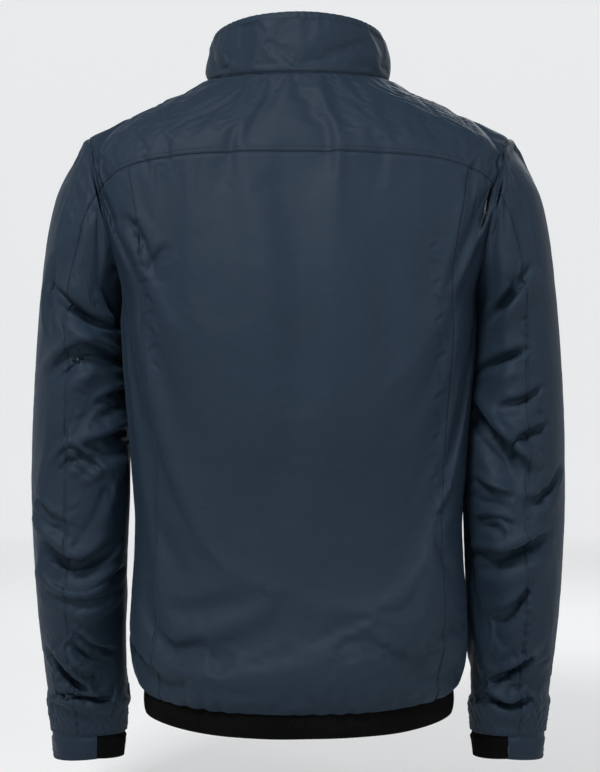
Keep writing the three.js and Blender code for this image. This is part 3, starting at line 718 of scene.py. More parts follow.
RIGHT_SLEEVE_FOLDS = [
    (8, 5.6, [(-248, -190), (-224, -225), (-200, -256)]),
    (8, 4.6, [(-246, -280), (-218, -291), (-188, -308)]),
    (11, 8.0, [(-178, -322), (-197, -360), (-220, -388), (-248, -414)]),
    (6, 4.6, [(-222, -381), (-243, -369), (-268, -358)]),
    (9, 7.0, [(-188, -502), (-226, -497), (-272, -476)]),
    (5, 4.0, [(-190, -464), (-209, -460), (-230, -468)]),
    (7, 4.0, [(-210, -568), (-233, -553), (-252, -530)]),
    (6, 4.6, [(-200, -656), (-228, -667), (-258, -662)]),
    (6, 4.0, [(-210, -638), (-235, -627), (-260, -612)]),
    (6, 4.0, [(-282, -404), (-269, -428), (-248, -444)]),
    (7, 4.6, [(-184, -418), (-205, -432), (-232, -438)]),
    (6, 3.6, [(-262, -318), (-240, -334), (-214, -340)]),
]
SLEEVE_FRONT_FOLDS = [
    (8, 5.6, [(262, -212), (236, -240), (196, -262)]),
    (8, 5.0, [(258, -300), (228, -320), (190, -330)]),
    (9, 7.0, [(290, -404), (250, -424), (196, -420)]),
    (9, 6.6, [(282, -452), (240, -446), (186, -462)]),
    (7, 4.6, [(270, -500), (236, -512), (196, -500)]),
    (7, 4.4, [(276, -560), (244, -580), (208, -584)]),
    (6, 4.2, [(268, -640), (236, -652), (204, -648)]),
]


def pucker_row(points, count, length, lean):
    """Short creases across a seam, evenly spaced along it, leaning either way in turn."""
    path = smooth_path(points, count)
    folds = []
    for k, (x, z) in enumerate(path):
        tilt = lean * (1 if k % 2 else -0.6)
        reach = length * (0.7 + 0.3 * math.sin(2.4 * k))
        folds.append((2.6, 1.3, [(x - reach, z - tilt), (x, z + 1.5), (x + reach, z + tilt)]))
    return folds


def crisp(folds, share):
    """The sharp creases that run down the middle of broader folds."""
    return [(max(2.8, 0.5 * width), share * depth, points) for width, depth, points in folds]


def hem_puckers():
    """Short upright creases that the gathered hem draws into the cloth above it."""
    folds = []
    for x in range(-150, 160, 19):
        width, depth = 3.2 + 1.2 * math.sin(x), 0.75 + 0.6 * math.sin(1.7 * x)
        folds.append((width, depth, [(x, -668), (x + 5 * math.sin(x), -648), (x + 2, -626)]))
    return folds


def mirrored_folds(folds):
    return [(width, depth, [(-x, z) for x, z in points]) for width, depth, points in folds]


PUCKERS = {
    "back": pucker_row([(-142, -175), (-150, -300), (-142, -440)], 14, 7, 5)
    + pucker_row([(168, -150), (160, -220), (150, -300)], 10, 7, 5)
    + hem_puckers(),
    "left": pucker_row([(222, -250), (236, -430), (234, -560), (232, -670)], 22, 8, 5),
    "right": pucker_row([(-246, -440), (-246, -520), (-244, -600), (-238, -670)], 22, 8, 4)
    + pucker_row([(-238, -250), (-254, -340), (-258, -430)], 10, 7, 5),
}


# ---------- the torso ----------
BODY_N, ARM_N, YOKE_N, OVER_N = 60, 17, 9, 13
HALF_COLUMNS = 40
YOKE_ROW = BODY_N + ARM_N
SEAM_COLUMN = round(HALF_COLUMNS * (1 - SIDE_SEAM_U))
TAIL_DROP, SIDE_LIFT = 7.0, 5.0


def tail(z, u):
    """How much higher the hem is cut at the sides, and lower at centre back, than a level one."""
    back_share = np.cos(np.clip(np.abs(u), 0, 1) * QUARTER) ** 2
    front_share = np.cos(np.clip(2 - np.abs(u), 0, 1) * QUARTER) ** 2
    cut = SIDE_LIFT - (SIDE_LIFT + TAIL_DROP) * back_share - SIDE_LIFT * front_share
    return cut * eased((HEM_TOP_Z + 150 - z) / 150)


def torso_back_grid():
    u = np.linspace(-1, 1, 2 * HALF_COLUMNS + 1)
    low = rise(yoke_z(u), BODY_N, ARM_N)
    high = climb(yoke_z(u), YOKE_N, OVER_N)
    points = torso(u[:, None], np.concatenate([low, high[:, 1:]], 1), True)
    points[..., 2] += tail(points[..., 2], u[:, None])
    return points


def torso_front_grid():
    """The wearer's left front, from the side seam to the zip."""
    yoke = np.array([FRONT_YOKE_Z])
    h = np.concatenate([rise(yoke, BODY_N, ARM_N), climb(yoke, YOKE_N, OVER_N)[:, 1:]], 1)[0]
    share = np.linspace(0, 1, HALF_COLUMNS + 1)[:, None]
    u = 1 + (torso_front_u(ZIP_EDGE_X, h)[None, :] - 1) * share
    points = torso(u, np.broadcast_to(h, u.shape), False)
    points[..., 2] += tail(points[..., 2], u)
    return points


def mirrored(grid):
    """A grid's mirror image, its columns reversed so that it still faces out."""
    return grid[::-1] * MIRROR


def relaxed(grid, rounds=40):
    """Eases the creases that the cut has at the underarm and over the shoulder, edges held."""
    out = grid.copy()
    edge = np.minimum(np.arange(len(grid)), np.arange(len(grid))[::-1])
    hold = eased(edge / 4)[:, None, None]
    for _ in range(rounds):
        middle = (out[:, :-2] + out[:, 2:]) / 2
        out[:, 1:-1] += 0.5 * hold * (middle - out[:, 1:-1])
    return out


def reseated(grid, row, heights):
    """Slides the points of each inner column along it, so that row is at its height again."""
    out = grid.copy()
    last = grid.shape[1] - 1
    for i in range(1, len(grid) - 1):
        crossing = np.interp(heights[i], grid[i, :, 2], np.arange(last + 1))
        steps = np.concatenate([
            np.arange(row + 1) * crossing / row,
            crossing + np.arange(1, last - row + 1) * (last - crossing) / (last - row),
        ])
        out[i] = cubic_steps(grid[i][:, None], steps, 0)[:, 0]
    return out


EDGES = {"start": np.s_[0], "end": np.s_[-1], "low": np.s_[:, 0], "top": np.s_[:, -1]}


def sewn(grid, edges):
    """Pin weights: 1 on the edges named, and 0 elsewhere."""
    pin = np.zeros(grid.shape[:2])
    for edge in edges:
        pin[EDGES[edge]] = 1
    return pin


def folded(grid, folds, free):
    """Pushes a grid's folds in along its normals, where free is 1."""
    depth = fold_depth(grid[..., 0], grid[..., 2], folds) * free
    return grid + grid_normals(grid) * depth[..., None]


def edge_free(grid, cells, edges=tuple(EDGES)):
    """0 on the edges named, rising to 1 a few cells in."""
    free = np.ones(grid.shape[:2])
    for edge in edges:
        lanes = free if edge in ("start", "end") else free.T
        steps = np.arange(len(lanes))
        if edge in ("end", "top"):
            steps = steps[::-1]
        lanes *= eased(steps / cells)[:, None]
    return free


def side_held(settled, cut, most, lean):
    """Keeps the outline that shows from behind: cloth facing sideways moves at most mm that
    way. lean is how far it then leans out, in mm, where the arm hangs against the body."""
    facing = grid_normals(cut)[..., 0]
    sideways = eased(np.abs(facing) * 1.6 - 0.4)
    shift = settled[..., 0] - cut[..., 0]
    touching = eased((cut[..., 2] + 470) / 60) * eased((-225 - cut[..., 2]) / 30)
    held = most * np.tanh(shift / most) + lean * np.sign(facing) * touching
    out = settled.copy()
    out[..., 0] = cut[..., 0] + lerp(shift, held, sideways)
    return out


def torso_cloth():
    back, front = torso_back_grid(), torso_front_grid()
    back = reseated(relaxed(back), YOKE_ROW, back[:, YOKE_ROW, 2])
    front = reseated(relaxed(front), YOKE_ROW, front[:, YOKE_ROW, 2])
    cut = [back, front, mirrored(front)]
    left = folded(front, FRONT_FOLDS, edge_free(front, 4))
    start = [folded(back, BACK_FOLDS, edge_free(back, 4)), left, mirrored(left)]
    pins = [
        sewn(back, ("low", "top")),
        sewn(front, ("low", "top", "end")),
        sewn(front, ("low", "top", "start")),
    ]
    arm_rows = slice(BODY_N, None)
    pins[0][0, arm_rows] = pins[0][-1, arm_rows] = 1
    pins[1][0, arm_rows] = pins[2][-1, arm_rows] = 1
    pins[0][:, YOKE_ROW:] = np.maximum(pins[0][:, YOKE_ROW:], 0.2)
    over = slice(YOKE_ROW + YOKE_N, None)
    for pin in pins[1:]:
        pin[:, over] = np.maximum(pin[:, over], 0.2)
    settled = settle(start, pins, expand=0.018, frames=20, gravity=0.2, pressure=0.15)
    return cut, [side_held(grid, flat, 2.0, 2.4) for grid, flat in zip(settled, cut)]


class Cloth:
    """A grid refined for show, with its points' fractional columns u and rows v."""

    def __init__(self, grid, factor, column_seams, row_seams, closed=False, fine=(), free=None):
        pad = 3 if closed else 0
        columns = len(grid) if closed else len(grid) - 1
        if closed:
            grid = np.concatenate([grid[-pad:], grid, grid[: pad + 1]])
        self.u = fine_steps(grid.shape[0] - 1, factor, [c + pad for c in column_seams])
        self.v = fine_steps(grid.shape[1] - 1, factor, row_seams)
        points = cubic_steps(cubic_steps(grid, self.u, 0), self.v, 1)
        self.u = self.u - pad
        keep = (self.u >= -1e-6) & (self.u <= columns + 1e-6)
        normals = grid_normals(points)
        depth = fold_depth(points[..., 0], points[..., 2], fine)
        if free is not None:
            depth = depth * free(points)
        depth = depth + 0.16 * ripple(points, 22, 5) + 0.07 * ripple(points, 7, 9)
        points = points + normals * depth[..., None]
        normals = grid_normals(points)
        self.points, self.normals, self.u = points[keep], normals[keep], self.u[keep]

    def part(self, u0, u1, v0, v1, seams, groove=1.2, width=1.7):
        """The stretch between two columns and two rows, rolled under along the seams named."""
        cols = np.flatnonzero((self.u >= u0 - 1e-6) & (self.u <= u1 + 1e-6))
        rows = np.flatnonzero((self.v >= v0 - 1e-6) & (self.v <= v1 + 1e-6))
        points = self.points[cols][:, rows]
        normals = self.normals[cols][:, rows]
        du = np.linalg.norm(np.diff(points, axis=0, prepend=points[:1]), axis=-1).cumsum(0)
        dv = np.linalg.norm(np.diff(points, axis=1, prepend=points[:, :1]), axis=-1).cumsum(1)
        gaps = {"start": du, "end": du[-1:] - du, "low": dv, "top": dv[:, -1:] - dv}
        sink = np.zeros(points.shape[:2])
        slope = np.zeros(points.shape[:2] + (3,))
        for side in seams:
            gap = gaps[side]
            fall = np.exp(-((gap / width) ** 2))
            sink = np.maximum(sink, fall)
            step = np.gradient(points, axis=0 if side in ("start", "end") else 1)
            step /= np.maximum(np.linalg.norm(step, axis=-1, keepdims=True), 1e-9)
            sign = -1 if side in ("start", "low") else 1
            slope += sign * step * (2 * gap / width**2 * fall * groove)[..., None]
        rolled = points - normals * (sink * groove)[..., None]
        shade = normals + 0.9 * slope
        shade /= np.linalg.norm(shade, axis=-1, keepdims=True)
        return rolled, shade, points, normals


def stitch_row(points, normals, pitch=3.3, length=2.5, radius=0.26):
    """Verts and faces of a row of stitches lying on a path of mm points."""
    run = np.linalg.norm(np.diff(points, axis=0), axis=-1)
    along = np.concatenate([[0], run.cumsum()])
    count = int(along[-1] / pitch)
    if count < 1:
        return np.zeros((0, 3)), np.zeros((0, 4), int)
    centre = (np.arange(count) + 0.5) * pitch

    def at(s, values):
        return np.stack([np.interp(s, along, values[:, k]) for k in range(3)], -1)

    a, b = at(centre - length / 2, points), at(centre + length / 2, points)
    normal = at(centre, normals)
    way = (b - a) / np.maximum(np.linalg.norm(b - a, axis=-1, keepdims=True), 1e-9)
    side = np.cross(way, normal)
    side /= np.maximum(np.linalg.norm(side, axis=-1, keepdims=True), 1e-9)
    verts, sides = [], 6
    stations = (
        (0.0, 0.35, -0.22), (0.18, 1.0, 0.12), (0.5, 1.1, 0.2), (0.82, 1.0, 0.12), (1.0, 0.35, -0.22),
    )
    for share, swell, lift in stations:
        middle = a + (b - a) * share + normal * lift
        for k in range(sides):
            angle = 2 * math.pi * k / sides
            spoke = side * math.cos(angle) + normal * math.sin(angle)
            verts.append(middle + radius * swell * spoke)
    verts = np.stack(verts, 1)
    faces = []
    for s in range(len(stations) - 1):
        for k in range(sides):
            m = (k + 1) % sides
            faces.append((s * sides + k, s * sides + m, (s + 1) * sides + m, (s + 1) * sides + k))
    last = (len(stations) - 1) * sides
    caps = ((0, (0, 5, 4, 3)), (0, (0, 3, 2, 1)), (last, (0, 1, 2, 3)), (last, (0, 3, 4, 5)))
    for base, order in caps:
        faces.append(tuple(base + k for k in order))
    faces = np.array(faces)[None] + (np.arange(count) * verts.shape[1])[:, None, None]
    return verts.reshape(-1, 3), faces.reshape(-1, 4)


def stitches(name, rows):
    """One object of stitch rows, each a (points, normals) path in mm."""
    verts, faces, offset = [], [], 0
    for points, normals in rows:
        v, f = stitch_row(points + normals * 0.1, normals)
        verts.append(v)
        faces.append(f + offset)
        offset += len(v)
    obj = make_object(name, np.concatenate(verts) * MM, np.concatenate(faces))
    obj.data.materials.append(thread_mat)
    return obj


def beside(points, normals, side, gap):
    """The path that runs gap mm inside one side of a refined part."""
    if side in ("start", "end"):
        lanes, others = points, normals
    else:
        lanes, others = points.transpose(1, 0, 2), normals.transpose(1, 0, 2)
    if side in ("end", "top"):
        lanes, others = lanes[::-1], others[::-1]
    walk = np.linalg.norm(np.diff(lanes, axis=0, prepend=lanes[:1]), axis=-1).cumsum(0)
    path, tops = [], []
    for k in range(lanes.shape[1]):
        path.append([np.interp(gap, walk[:, k], lanes[:, k, c]) for c in range(3)])
        tops.append([np.interp(gap, walk[:, k], others[:, k, c]) for c in range(3)])
    return np.array(path), np.array(tops)


SHELL_T = 1.2
SEAM_STITCH, TOP_STITCH, ARMHOLE_STITCH = 1.8, 6.5, 2.2
ZIP_STITCHES = (3.0, 8.0)
LINING_INSET = 5.2


def torso_piece(name, cloth, box, seams, lines):
    """A shell piece of the body, from a box of columns and rows. lines are its stitch rows,
    each an edge and a gap from it. Returns their paths."""
    rolled, shade, points, normals = cloth.part(*box, seams)
    obj = sheet_object(name, rolled, shade, SHELL_T)
    dress(obj, shell_mat, "torso", [name])
    return [beside(points, normals, side, gap) for side, gap in lines]


def inner_layer(name, grid, inset, thickness, material, nodes, fine=()):
    """A lining or bag that follows the cloth outside it, inset from it."""
    cloth = Cloth(grid, 2, [], [], fine=fine)
    points = cloth.points - cloth.normals * inset
    over_arm = eased((points[..., 2] - UNDERARM_Z + 12) / 12)
    edge_x = np.abs(points[..., 0]) - armhole_x(points[..., 2]) + 14
    points[..., 0] -= np.sign(points[..., 0]) * np.maximum(0, edge_x) * 0.75 * over_arm
    obj = sheet_object(name, points, cloth.normals, thickness)
    dress(obj, material, "torso", nodes)


def build_torso():
    cut, settled = torso_cloth()
    last = 2 * HALF_COLUMNS
    top = cut[0].shape[1] - 1
    creases = PUCKERS["back"] + crisp(BACK_FOLDS[4:10], 0.4)
    back = Cloth(settled[0], 3, [SEAM_COLUMN, last - SEAM_COLUMN], [YOKE_ROW], fine=creases)
    below, above = (0, YOKE_ROW), (YOKE_ROW, top)
    left_seam = last - SEAM_COLUMN
    yoke_lines = [("low", SEAM_STITCH), ("low", TOP_STITCH)]
    rows = []
    for name, u0, u1, lines in (
        ("back_panel", SEAM_COLUMN, left_seam, []),
        ("side_back_panel_left", left_seam, last, [("start", SEAM_STITCH)]),
        ("side_back_panel_right", 0, SEAM_COLUMN, [("end", SEAM_STITCH)]),
    ):
        rows += torso_piece(name, back, (u0, u1, *below), ("start", "end", "top"), lines)
    arm_lines = [(edge, ARMHOLE_STITCH) for edge in ("start", "end")]
    rows += torso_piece("back_yoke", back, (0, last, *above),
                        ("low", "start", "end", "top"), yoke_lines + arm_lines)
    inner_layer("back_lining", settled[0][:, 3:], LINING_INSET, 1.0,
                fleece_mat, ["back_lining"], creases)
    for index, side in ((1, "left"), (2, "right")):
        front = Cloth(settled[index], 3, [], [YOKE_ROW])
        zip_side, arm_side = ("end", "start") if side == "left" else ("start", "end")
        zip_lines = [(zip_side, gap) for gap in ZIP_STITCHES]
        rows += torso_piece(f"front_panel_{side}", front, (0, HALF_COLUMNS, *below),
                            ("top", arm_side), zip_lines)
        rows += torso_piece(f"front_yoke_{side}", front, (0, HALF_COLUMNS, *above),
                            ("low", "top", arm_side), yoke_lines + zip_lines)
        clear = slice(0, -2) if side == "left" else slice(2, None)
        inner_layer(f"front_lining_{side}", settled[index][clear, 3:],
                    LINING_INSET, 1.0, lining_mat, [f"front_lining_{side}"])
    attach(stitches("stitches_torso", rows), "torso")
    return settled


torso_settled = build_torso()


# ---------- sleeves ----------
AROUND = 72
SEAM_U = round(BACK_SEAM_U * AROUND)
CUFF_TOP = 12.25
ELBOW_CUT = 7.3
SOFT_ROWS = 12
ROWS_UP = np.concatenate([np.linspace(0, 5, 21)[:-1], np.linspace(5, CUFF_TOP, 70)])[::-1]
CUT_INDEX = int(np.argmin(np.abs(ROWS_UP - ELBOW_CUT)))
ARMHOLE_OUT = np.array([SHOULDER_Z - UNDERARM_Z, 0, UNDERARM_X - SHOULDER_X])
ARMHOLE_OUT /= np.linalg.norm(ARMHOLE_OUT)


def sleeve_cloth(folds):
    """The wearer's left sleeve: round the arm from its back seam, and up it from the cuff."""
    u = BACK_SEAM_U - np.arange(AROUND) * 2 / AROUND
    cut = sleeve(u[:, None], ROWS_UP[None, :])
    back = np.sin(u * math.pi)[:, None]
    free = edge_free(cut, 4, ("low", "top"))
    depth = 2.1 * fold_depth(cut[..., 0], cut[..., 2], folds) * eased(back * 2.2)
    depth += fold_depth(cut[..., 0], cut[..., 2], SLEEVE_FRONT_FOLDS) * eased(-back * 2.2)
    start = cut + grid_normals(cut, closed=True) * (depth * free)[..., None]
    pin = sewn(cut, ("low", "top"))
    pin[:, :SOFT_ROWS] = np.maximum(pin[:, :SOFT_ROWS], np.linspace(0.9, 0, SOFT_ROWS))
    settled = settle(
        [start], [pin], expand=0.04, frames=22, gravity=0.25, pressure=0.25, closed=True
    )[0]
    inner = np.cos(u * math.pi)[:, None] < 0
    return cut, side_held(settled, cut, 3.0, np.where(inner, 2.4, 0.0))


def flipped(side, *grids):
    """The grids as they are on the left, and mirrored on the right."""
    if side == "left":
        return grids
    return tuple(mirrored(grid) for grid in grids)


def bend(obj):
    """Bakes a sleeve piece's transform into its mesh."""
    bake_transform(obj)


SLEEVE_PARTS = (
    ("upper_sleeve", "upper", CUT_INDEX, len(ROWS_UP) - 1),
    ("forearm", "fore", 0, CUT_INDEX),
)


def sleeve_shell(side, cloth):
    """The four cut pieces of a sleeve, with their stitches."""
    spans = (("top", 0, SEAM_U), ("under", SEAM_U, AROUND))
    for word, part, v0, v1 in SLEEVE_PARTS:
        rows = []
        for span, u0, u1 in spans:
            seams = ("start", "end") + (("top",) if part == "upper" else ("low",))
            rolled, shade, points, normals = cloth.part(u0, u1, v0, v1, seams)
            name = f"{word}_{span}_{side}"
            obj = sheet_object(name, *flipped(side, rolled, shade), SHELL_T)
            dress(obj, shell_mat, None, [name], ride=False)
            bend(obj)
            if span == "top":
                rows += [beside(points, normals, edge, SEAM_STITCH) for edge in ("start", "end")]
            if part == "fore":
                rows += [beside(points, normals, "low", 2.0)]
        if side == "right":
            rows = [(points * MIRROR, normals * MIRROR) for points, normals in rows]
        bend(stitches(f"stitches_{word}_{side}", rows))


def sleeve_lining(side, settled, creases):
    """The lining follows every crease of the shell, so that it never comes through it."""
    cloth = Cloth(settled, 2, [], [], closed=True, fine=creases, free=behind_arm)
    rows = np.flatnonzero(np.isclose(cloth.v % 1, 0) | np.isclose(cloth.v % 1, 0.5))
    inner = cloth.points[:-1, rows] - cloth.normals[:-1, rows] * 3.4
    normals = cloth.normals[:-1, rows]
    for word, part, v0, v1 in SLEEVE_PARTS:
        name = f"{word}_lining_{side}"
        span = slice(2 * v0, 2 * v1 + 1)
        grids = flipped(side, inner[:, span], normals[:, span])
        obj = sheet_object(name, *grids, 0.9, closed=True)
        dress(obj, lining_mat, None, [name], ride=False)
        bend(obj)


CUFF_TWIST = {"left": 0.07, "right": 0.0}


def cuff(side):
    """The turned cuff: shell cloth over the hand, gathered elastic under it."""
    rows = np.linspace(CUFF_TOP - 0.15, END_ROW, 26)[::-1]
    twist = CUFF_TWIST[side]
    shell_from, shell_to = twist + CUFF_SPLIT_U - 1.06, twist + CUFF_SPLIT_U
    spans = (
        ("cuff_shell", shell_to, shell_from, 60, shell_mat, "shell", 0.5),
        ("cuff_elastic", shell_from, shell_to - 2, 150, elastic_mat, "elastic", 0.0),
    )
    for word, u0, u1, columns, material, slot, proud in spans:
        u = np.linspace(u0, u1, columns)[:, None]
        points = sleeve(u, rows[None, :])
        normals = grid_normals(points)
        share = np.linspace(0, 1, columns)[:, None]
        down = ((rows - CUFF_TOP) / (END_ROW - CUFF_TOP))[None, :]
        if slot == "elastic":
            ribs = np.sin(share * columns * math.pi / 2) * 0.35
            gather = 1.3 * np.sin(share * 40 + 2.0 * np.sin(down * 4)) * eased(1 - down * 2.5)
            depth = ribs + gather * eased(down * 5) - 0.2 - 2.0 * eased(1 - down * 6)
            points[..., 2] -= 2.0 * np.sin(share * math.pi)
        else:
            wave = 0.9 * np.sin(share * 22 + 1.5 * down)
            wave = wave * eased(down * 5) * eased(1.6 - down * 1.4)
            depth = proud + wave - 1.9 * eased(1 - down * 6)
            points[..., 2] -= 3.5 * np.sin(share * math.pi)
        points = points + normals * depth[..., None]
        name = f"{word}_{side}"
        shown, shade = flipped(side, points, grid_normals(points))
        obj = sheet_object(name, shown, shade, 1.8)
        dress(obj, material, f"forearm_{side}", [name])
        if slot == "shell":
            paths = [beside(shown, shade, edge, gap) for edge, gap in (("low", 2.2), ("low", 8.0))]
            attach(stitches(f"stitches_cuff_{side}", paths), f"forearm_{side}")


def behind_arm(points):
    """1 on the back half of the sleeve, away from its two ends."""
    from_cuff = points[..., 2] - SLEEVE_ROWS[CUFF_ROW, 2]
    from_armhole = (points - np.array([UNDERARM_X, MID_Y, UNDERARM_Z])) @ ARMHOLE_OUT
    behind = eased((points[..., 1] - MID_Y + 10) / 30)
    return behind * eased(from_cuff / 20) * eased(from_armhole / 16)


def build_sleeves():
    right, right_puckers = mirrored_folds(RIGHT_SLEEVE_FOLDS), mirrored_folds(PUCKERS["right"])
    for side, folds, fine in (
        ("left", LEFT_SLEEVE_FOLDS, PUCKERS["left"]),
        ("right", right, right_puckers),
    ):
        cut, settled = sleeve_cloth(folds)
        creases = fine + crisp(folds, 1.35)
        seams = [0, SEAM_U, AROUND]
        cloth = Cloth(settled, 3, seams, [], closed=True, fine=creases, free=behind_arm)
        sleeve_shell(side, cloth)
        sleeve_lining(side, settled, creases)
        cuff(side)


build_sleeves()


# ---------- collar ----------
COLLAR_FOLDS = [
    (5, 3.6, [(98, 52), (92, 30), (76, 12)]),
    (5, 3.0, [(-80, 72), (-91, 46), (-90, 16)]),
    (9, 2.2, [(50, 74), (60, 48), (68, 24)]),
    (10, 2.0, [(6, 16), (-34, 33), (-82, 50)]),
    (7, 1.4, [(-30, 16), (-56, 22), (-84, 24)]),
]
COLLAR_SIDE_TOP = 61.0


def collar_columns(zip_x, count):
    edge = front_u(zip_x, NECK["half"], 1)
    front = np.linspace(1, edge, count)[1:]
    return np.concatenate([-front[::-1], np.linspace(-1, 1, 4 * count), front])


def collar_surface(u, w):
    """The collar as it stands: its corners at the sides fall lower than the cut's."""
    is_back = (np.abs(u) <= 1 + 1e-9)[:, None, None]
    w = np.broadcast_to(w, (len(u), len(w)))
    across = u[:, None]
    points = np.where(is_back, collar(across, w, True), collar(across, w, False))
    turn = np.minimum(np.abs(across), 2 - np.abs(across)) * QUARTER
    end_z = np.where(np.abs(across) <= 1, COLLAR_TOP["back_z"], COLLAR_TOP["front_z"])
    cut_top = lerp(COLLAR_TOP["side_z"], end_z, np.cos(turn) ** 2)
    worn_top = lerp(COLLAR_SIDE_TOP, end_z, np.cos(turn))
    points[..., 2] += (worn_top - cut_top) * w**1.3
    return points


def build_collar():
    u = collar_columns(ZIP_EDGE_X, 20)
    w = np.linspace(0, 1, 15)
    cut = collar_surface(u, w)
    normals = grid_normals(cut)
    behind = eased((cut[..., 1] - MID_Y + 60) / 50)
    free = edge_free(cut, 3, ("start", "end", "low")) * edge_free(cut, 2, ("top",))
    depth = fold_depth(cut[..., 0], cut[..., 2], COLLAR_FOLDS) * behind * free
    start = cut + normals * depth[..., None]
    pin = sewn(cut, ("low", "start", "end"))
    pin[:, -1] = 0.6
    settled = settle([start], [pin], expand=0.009, frames=14, gravity=0.1, most=5.0)[0]
    cloth = Cloth(settled, 4, [], [])
    points, normals = cloth.points, cloth.normals
    radius, rim = 1.9, points[:, -1:]
    out = normals[:, -1:] * np.array([1, 1, 0])
    out /= np.linalg.norm(out, axis=-1, keepdims=True)
    up = np.array([0, 0, 1.0])
    turn = np.linspace(0, math.pi, 9)[1:][None, :, None]
    over = rim - out * radius * (1 - np.cos(turn)) + up * radius * np.sin(turn)
    down = over[:, -1:] - up * np.array([2.0, 5.0, 9.0])[None, :, None]
    whole = np.concatenate([points, over, down], 1)
    shade = grid_normals(whole)
    sink = np.exp(-((np.arange(whole.shape[1]) / 1.5) ** 2))[None, :, None]
    obj = sheet_object("collar", whole - shade * sink * 1.0, shade, 1.2)
    dress(obj, shell_mat, "torso", ["collar"])
    edge = [beside(points, normals, "low", 2.2), beside(points, normals, "top", 5.5)]
    edge += [beside(points, normals, "start", 3.0), beside(points, normals, "end", 3.0)]
    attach(stitches("stitches_collar", edge), "torso")
    inner_u = slice(24, -24)
    lining = (points - normals * 4.3)[inner_u, 2:]
    lining_normals = normals[inner_u, 2:]
    lining = lining - np.array([0, 0, 3.5]) * np.linspace(0, 1, lining.shape[1])[None, :, None]
    puff = 0.5 * ripple(lining, 14, 21)[..., None]
    obj = sheet_object("collar_lining", lining, lining_normals, 2.0)
    mesh = obj.data
    half = lining.shape[0] * lining.shape[1]
    inner = np.array([v.co for v in mesh.vertices])
    inner[half:] -= (lining_normals * puff).reshape(-1, 3) * MM
    mesh.vertices.foreach_set("co", inner.reshape(-1))
    dress(obj, fleece_mat, "torso", ["collar_lining"])


build_collar()


# ---------- hem ----------
def rib_point(u, z):
    is_back = (np.abs(u) <= 1)[..., None]
    level = np.broadcast_to(z, np.broadcast(u, z).shape)
    points = np.where(is_back, ring(RIB_ROWS, u, level, True), ring(RIB_ROWS, u, level, False))
    points[..., 2] += tail(np.full(level.shape, HEM_TOP_Z), u)
    return points


def build_hem():
    edge = front_u(HEM_TAB_X, RIB_ROWS[1, 1], BODY_POWER)
    coarse = np.linspace(-edge, edge, 400)
    line = rib_point(coarse[:, None], np.array([[HEM_TOP_Z]]))[:, 0]
    walk = np.linalg.norm(np.diff(line, axis=0), axis=-1)
    along = np.concatenate([[0], walk.cumsum()])
    rib_pitch, per_rib = 2.9, 4
    count = int(along[-1] / rib_pitch) * per_rib
    u = np.interp(np.linspace(0, along[-1], count), along, coarse)[:, None]
    z = np.linspace(HEM_LOW_Z + 3, HEM_TOP_Z + 3, 9)[None, :]
    points = rib_point(u, z)
    rib = 0.30 * np.sin(np.arange(count) * 2 * math.pi / per_rib)[:, None]
    slack = 0.8 * ripple(points, 45, 31)
    curl = -1.2 * np.exp(-(((z - HEM_LOW_Z) / 3.0) ** 2))
    points = points + grid_normals(points) * (rib + slack + curl)[..., None]
    obj = sheet_object("hem_rib", points, grid_normals(points), 2.0)
    dress(obj, elastic_mat, "torso", ["hem_rib"])
    tab_u = np.linspace(edge, front_u(ZIP_EDGE_X, RIB_ROWS[1, 1], BODY_POWER), 30)[:, None]
    tab_z = np.linspace(HEM_LOW_Z, HEM_TOP_Z + 2, 24)[None, :]
    tab = rib_point(tab_u, tab_z)
    normals = grid_normals(tab)
    padding = 0.8 * edge_free(tab, 3) - 0.4
    tab = tab + normals * (padding + 0.2 * ripple(tab, 12, 3))[..., None]
    for side in ("left", "right"):
        shown, shade = flipped(side, tab, grid_normals(tab))
        obj = sheet_object(f"hem_tab_{side}", shown, shade, 2.2)
        dress(obj, shell_mat, "torso", [f"hem_tab_{side}"])
        paths = [beside(shown, shade, way, 2.4) for way in ("start", "end", "low", "top")]
        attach(stitches(f"stitches_hem_tab_{side}", paths), "torso")


build_hem()


# ---------- zips ----------
# A zip's own frame: z runs up the zip, -y faces out of the cloth, and y = 0 is its outer face.
CHAIN_FRONT, CHAIN_BACK = 1.1, 4.1
TAPE_START, TAPE_END, TAPE_FRONT = 3.1, 12.0, 2.6
TOOTH_PITCH = 2.9
ZIP_TILT = -math.atan(ZIP_SLOPE)
ZIP_AXES = np.array([
    [1, 0, 0],
    [0, math.cos(ZIP_TILT), math.sin(ZIP_TILT)],
    [0, -math.sin(ZIP_TILT), math.cos(ZIP_TILT)],
])
ZIP_TOP = np.array([0, zip_y(ZIP_TOP_Z), ZIP_TOP_Z])
ZIP_LENGTH = (ZIP_TOP_Z - HEM_LOW_Z) * math.hypot(1, ZIP_SLOPE)


def placed(points, axes, origin):
    return np.asarray(points) @ axes + origin


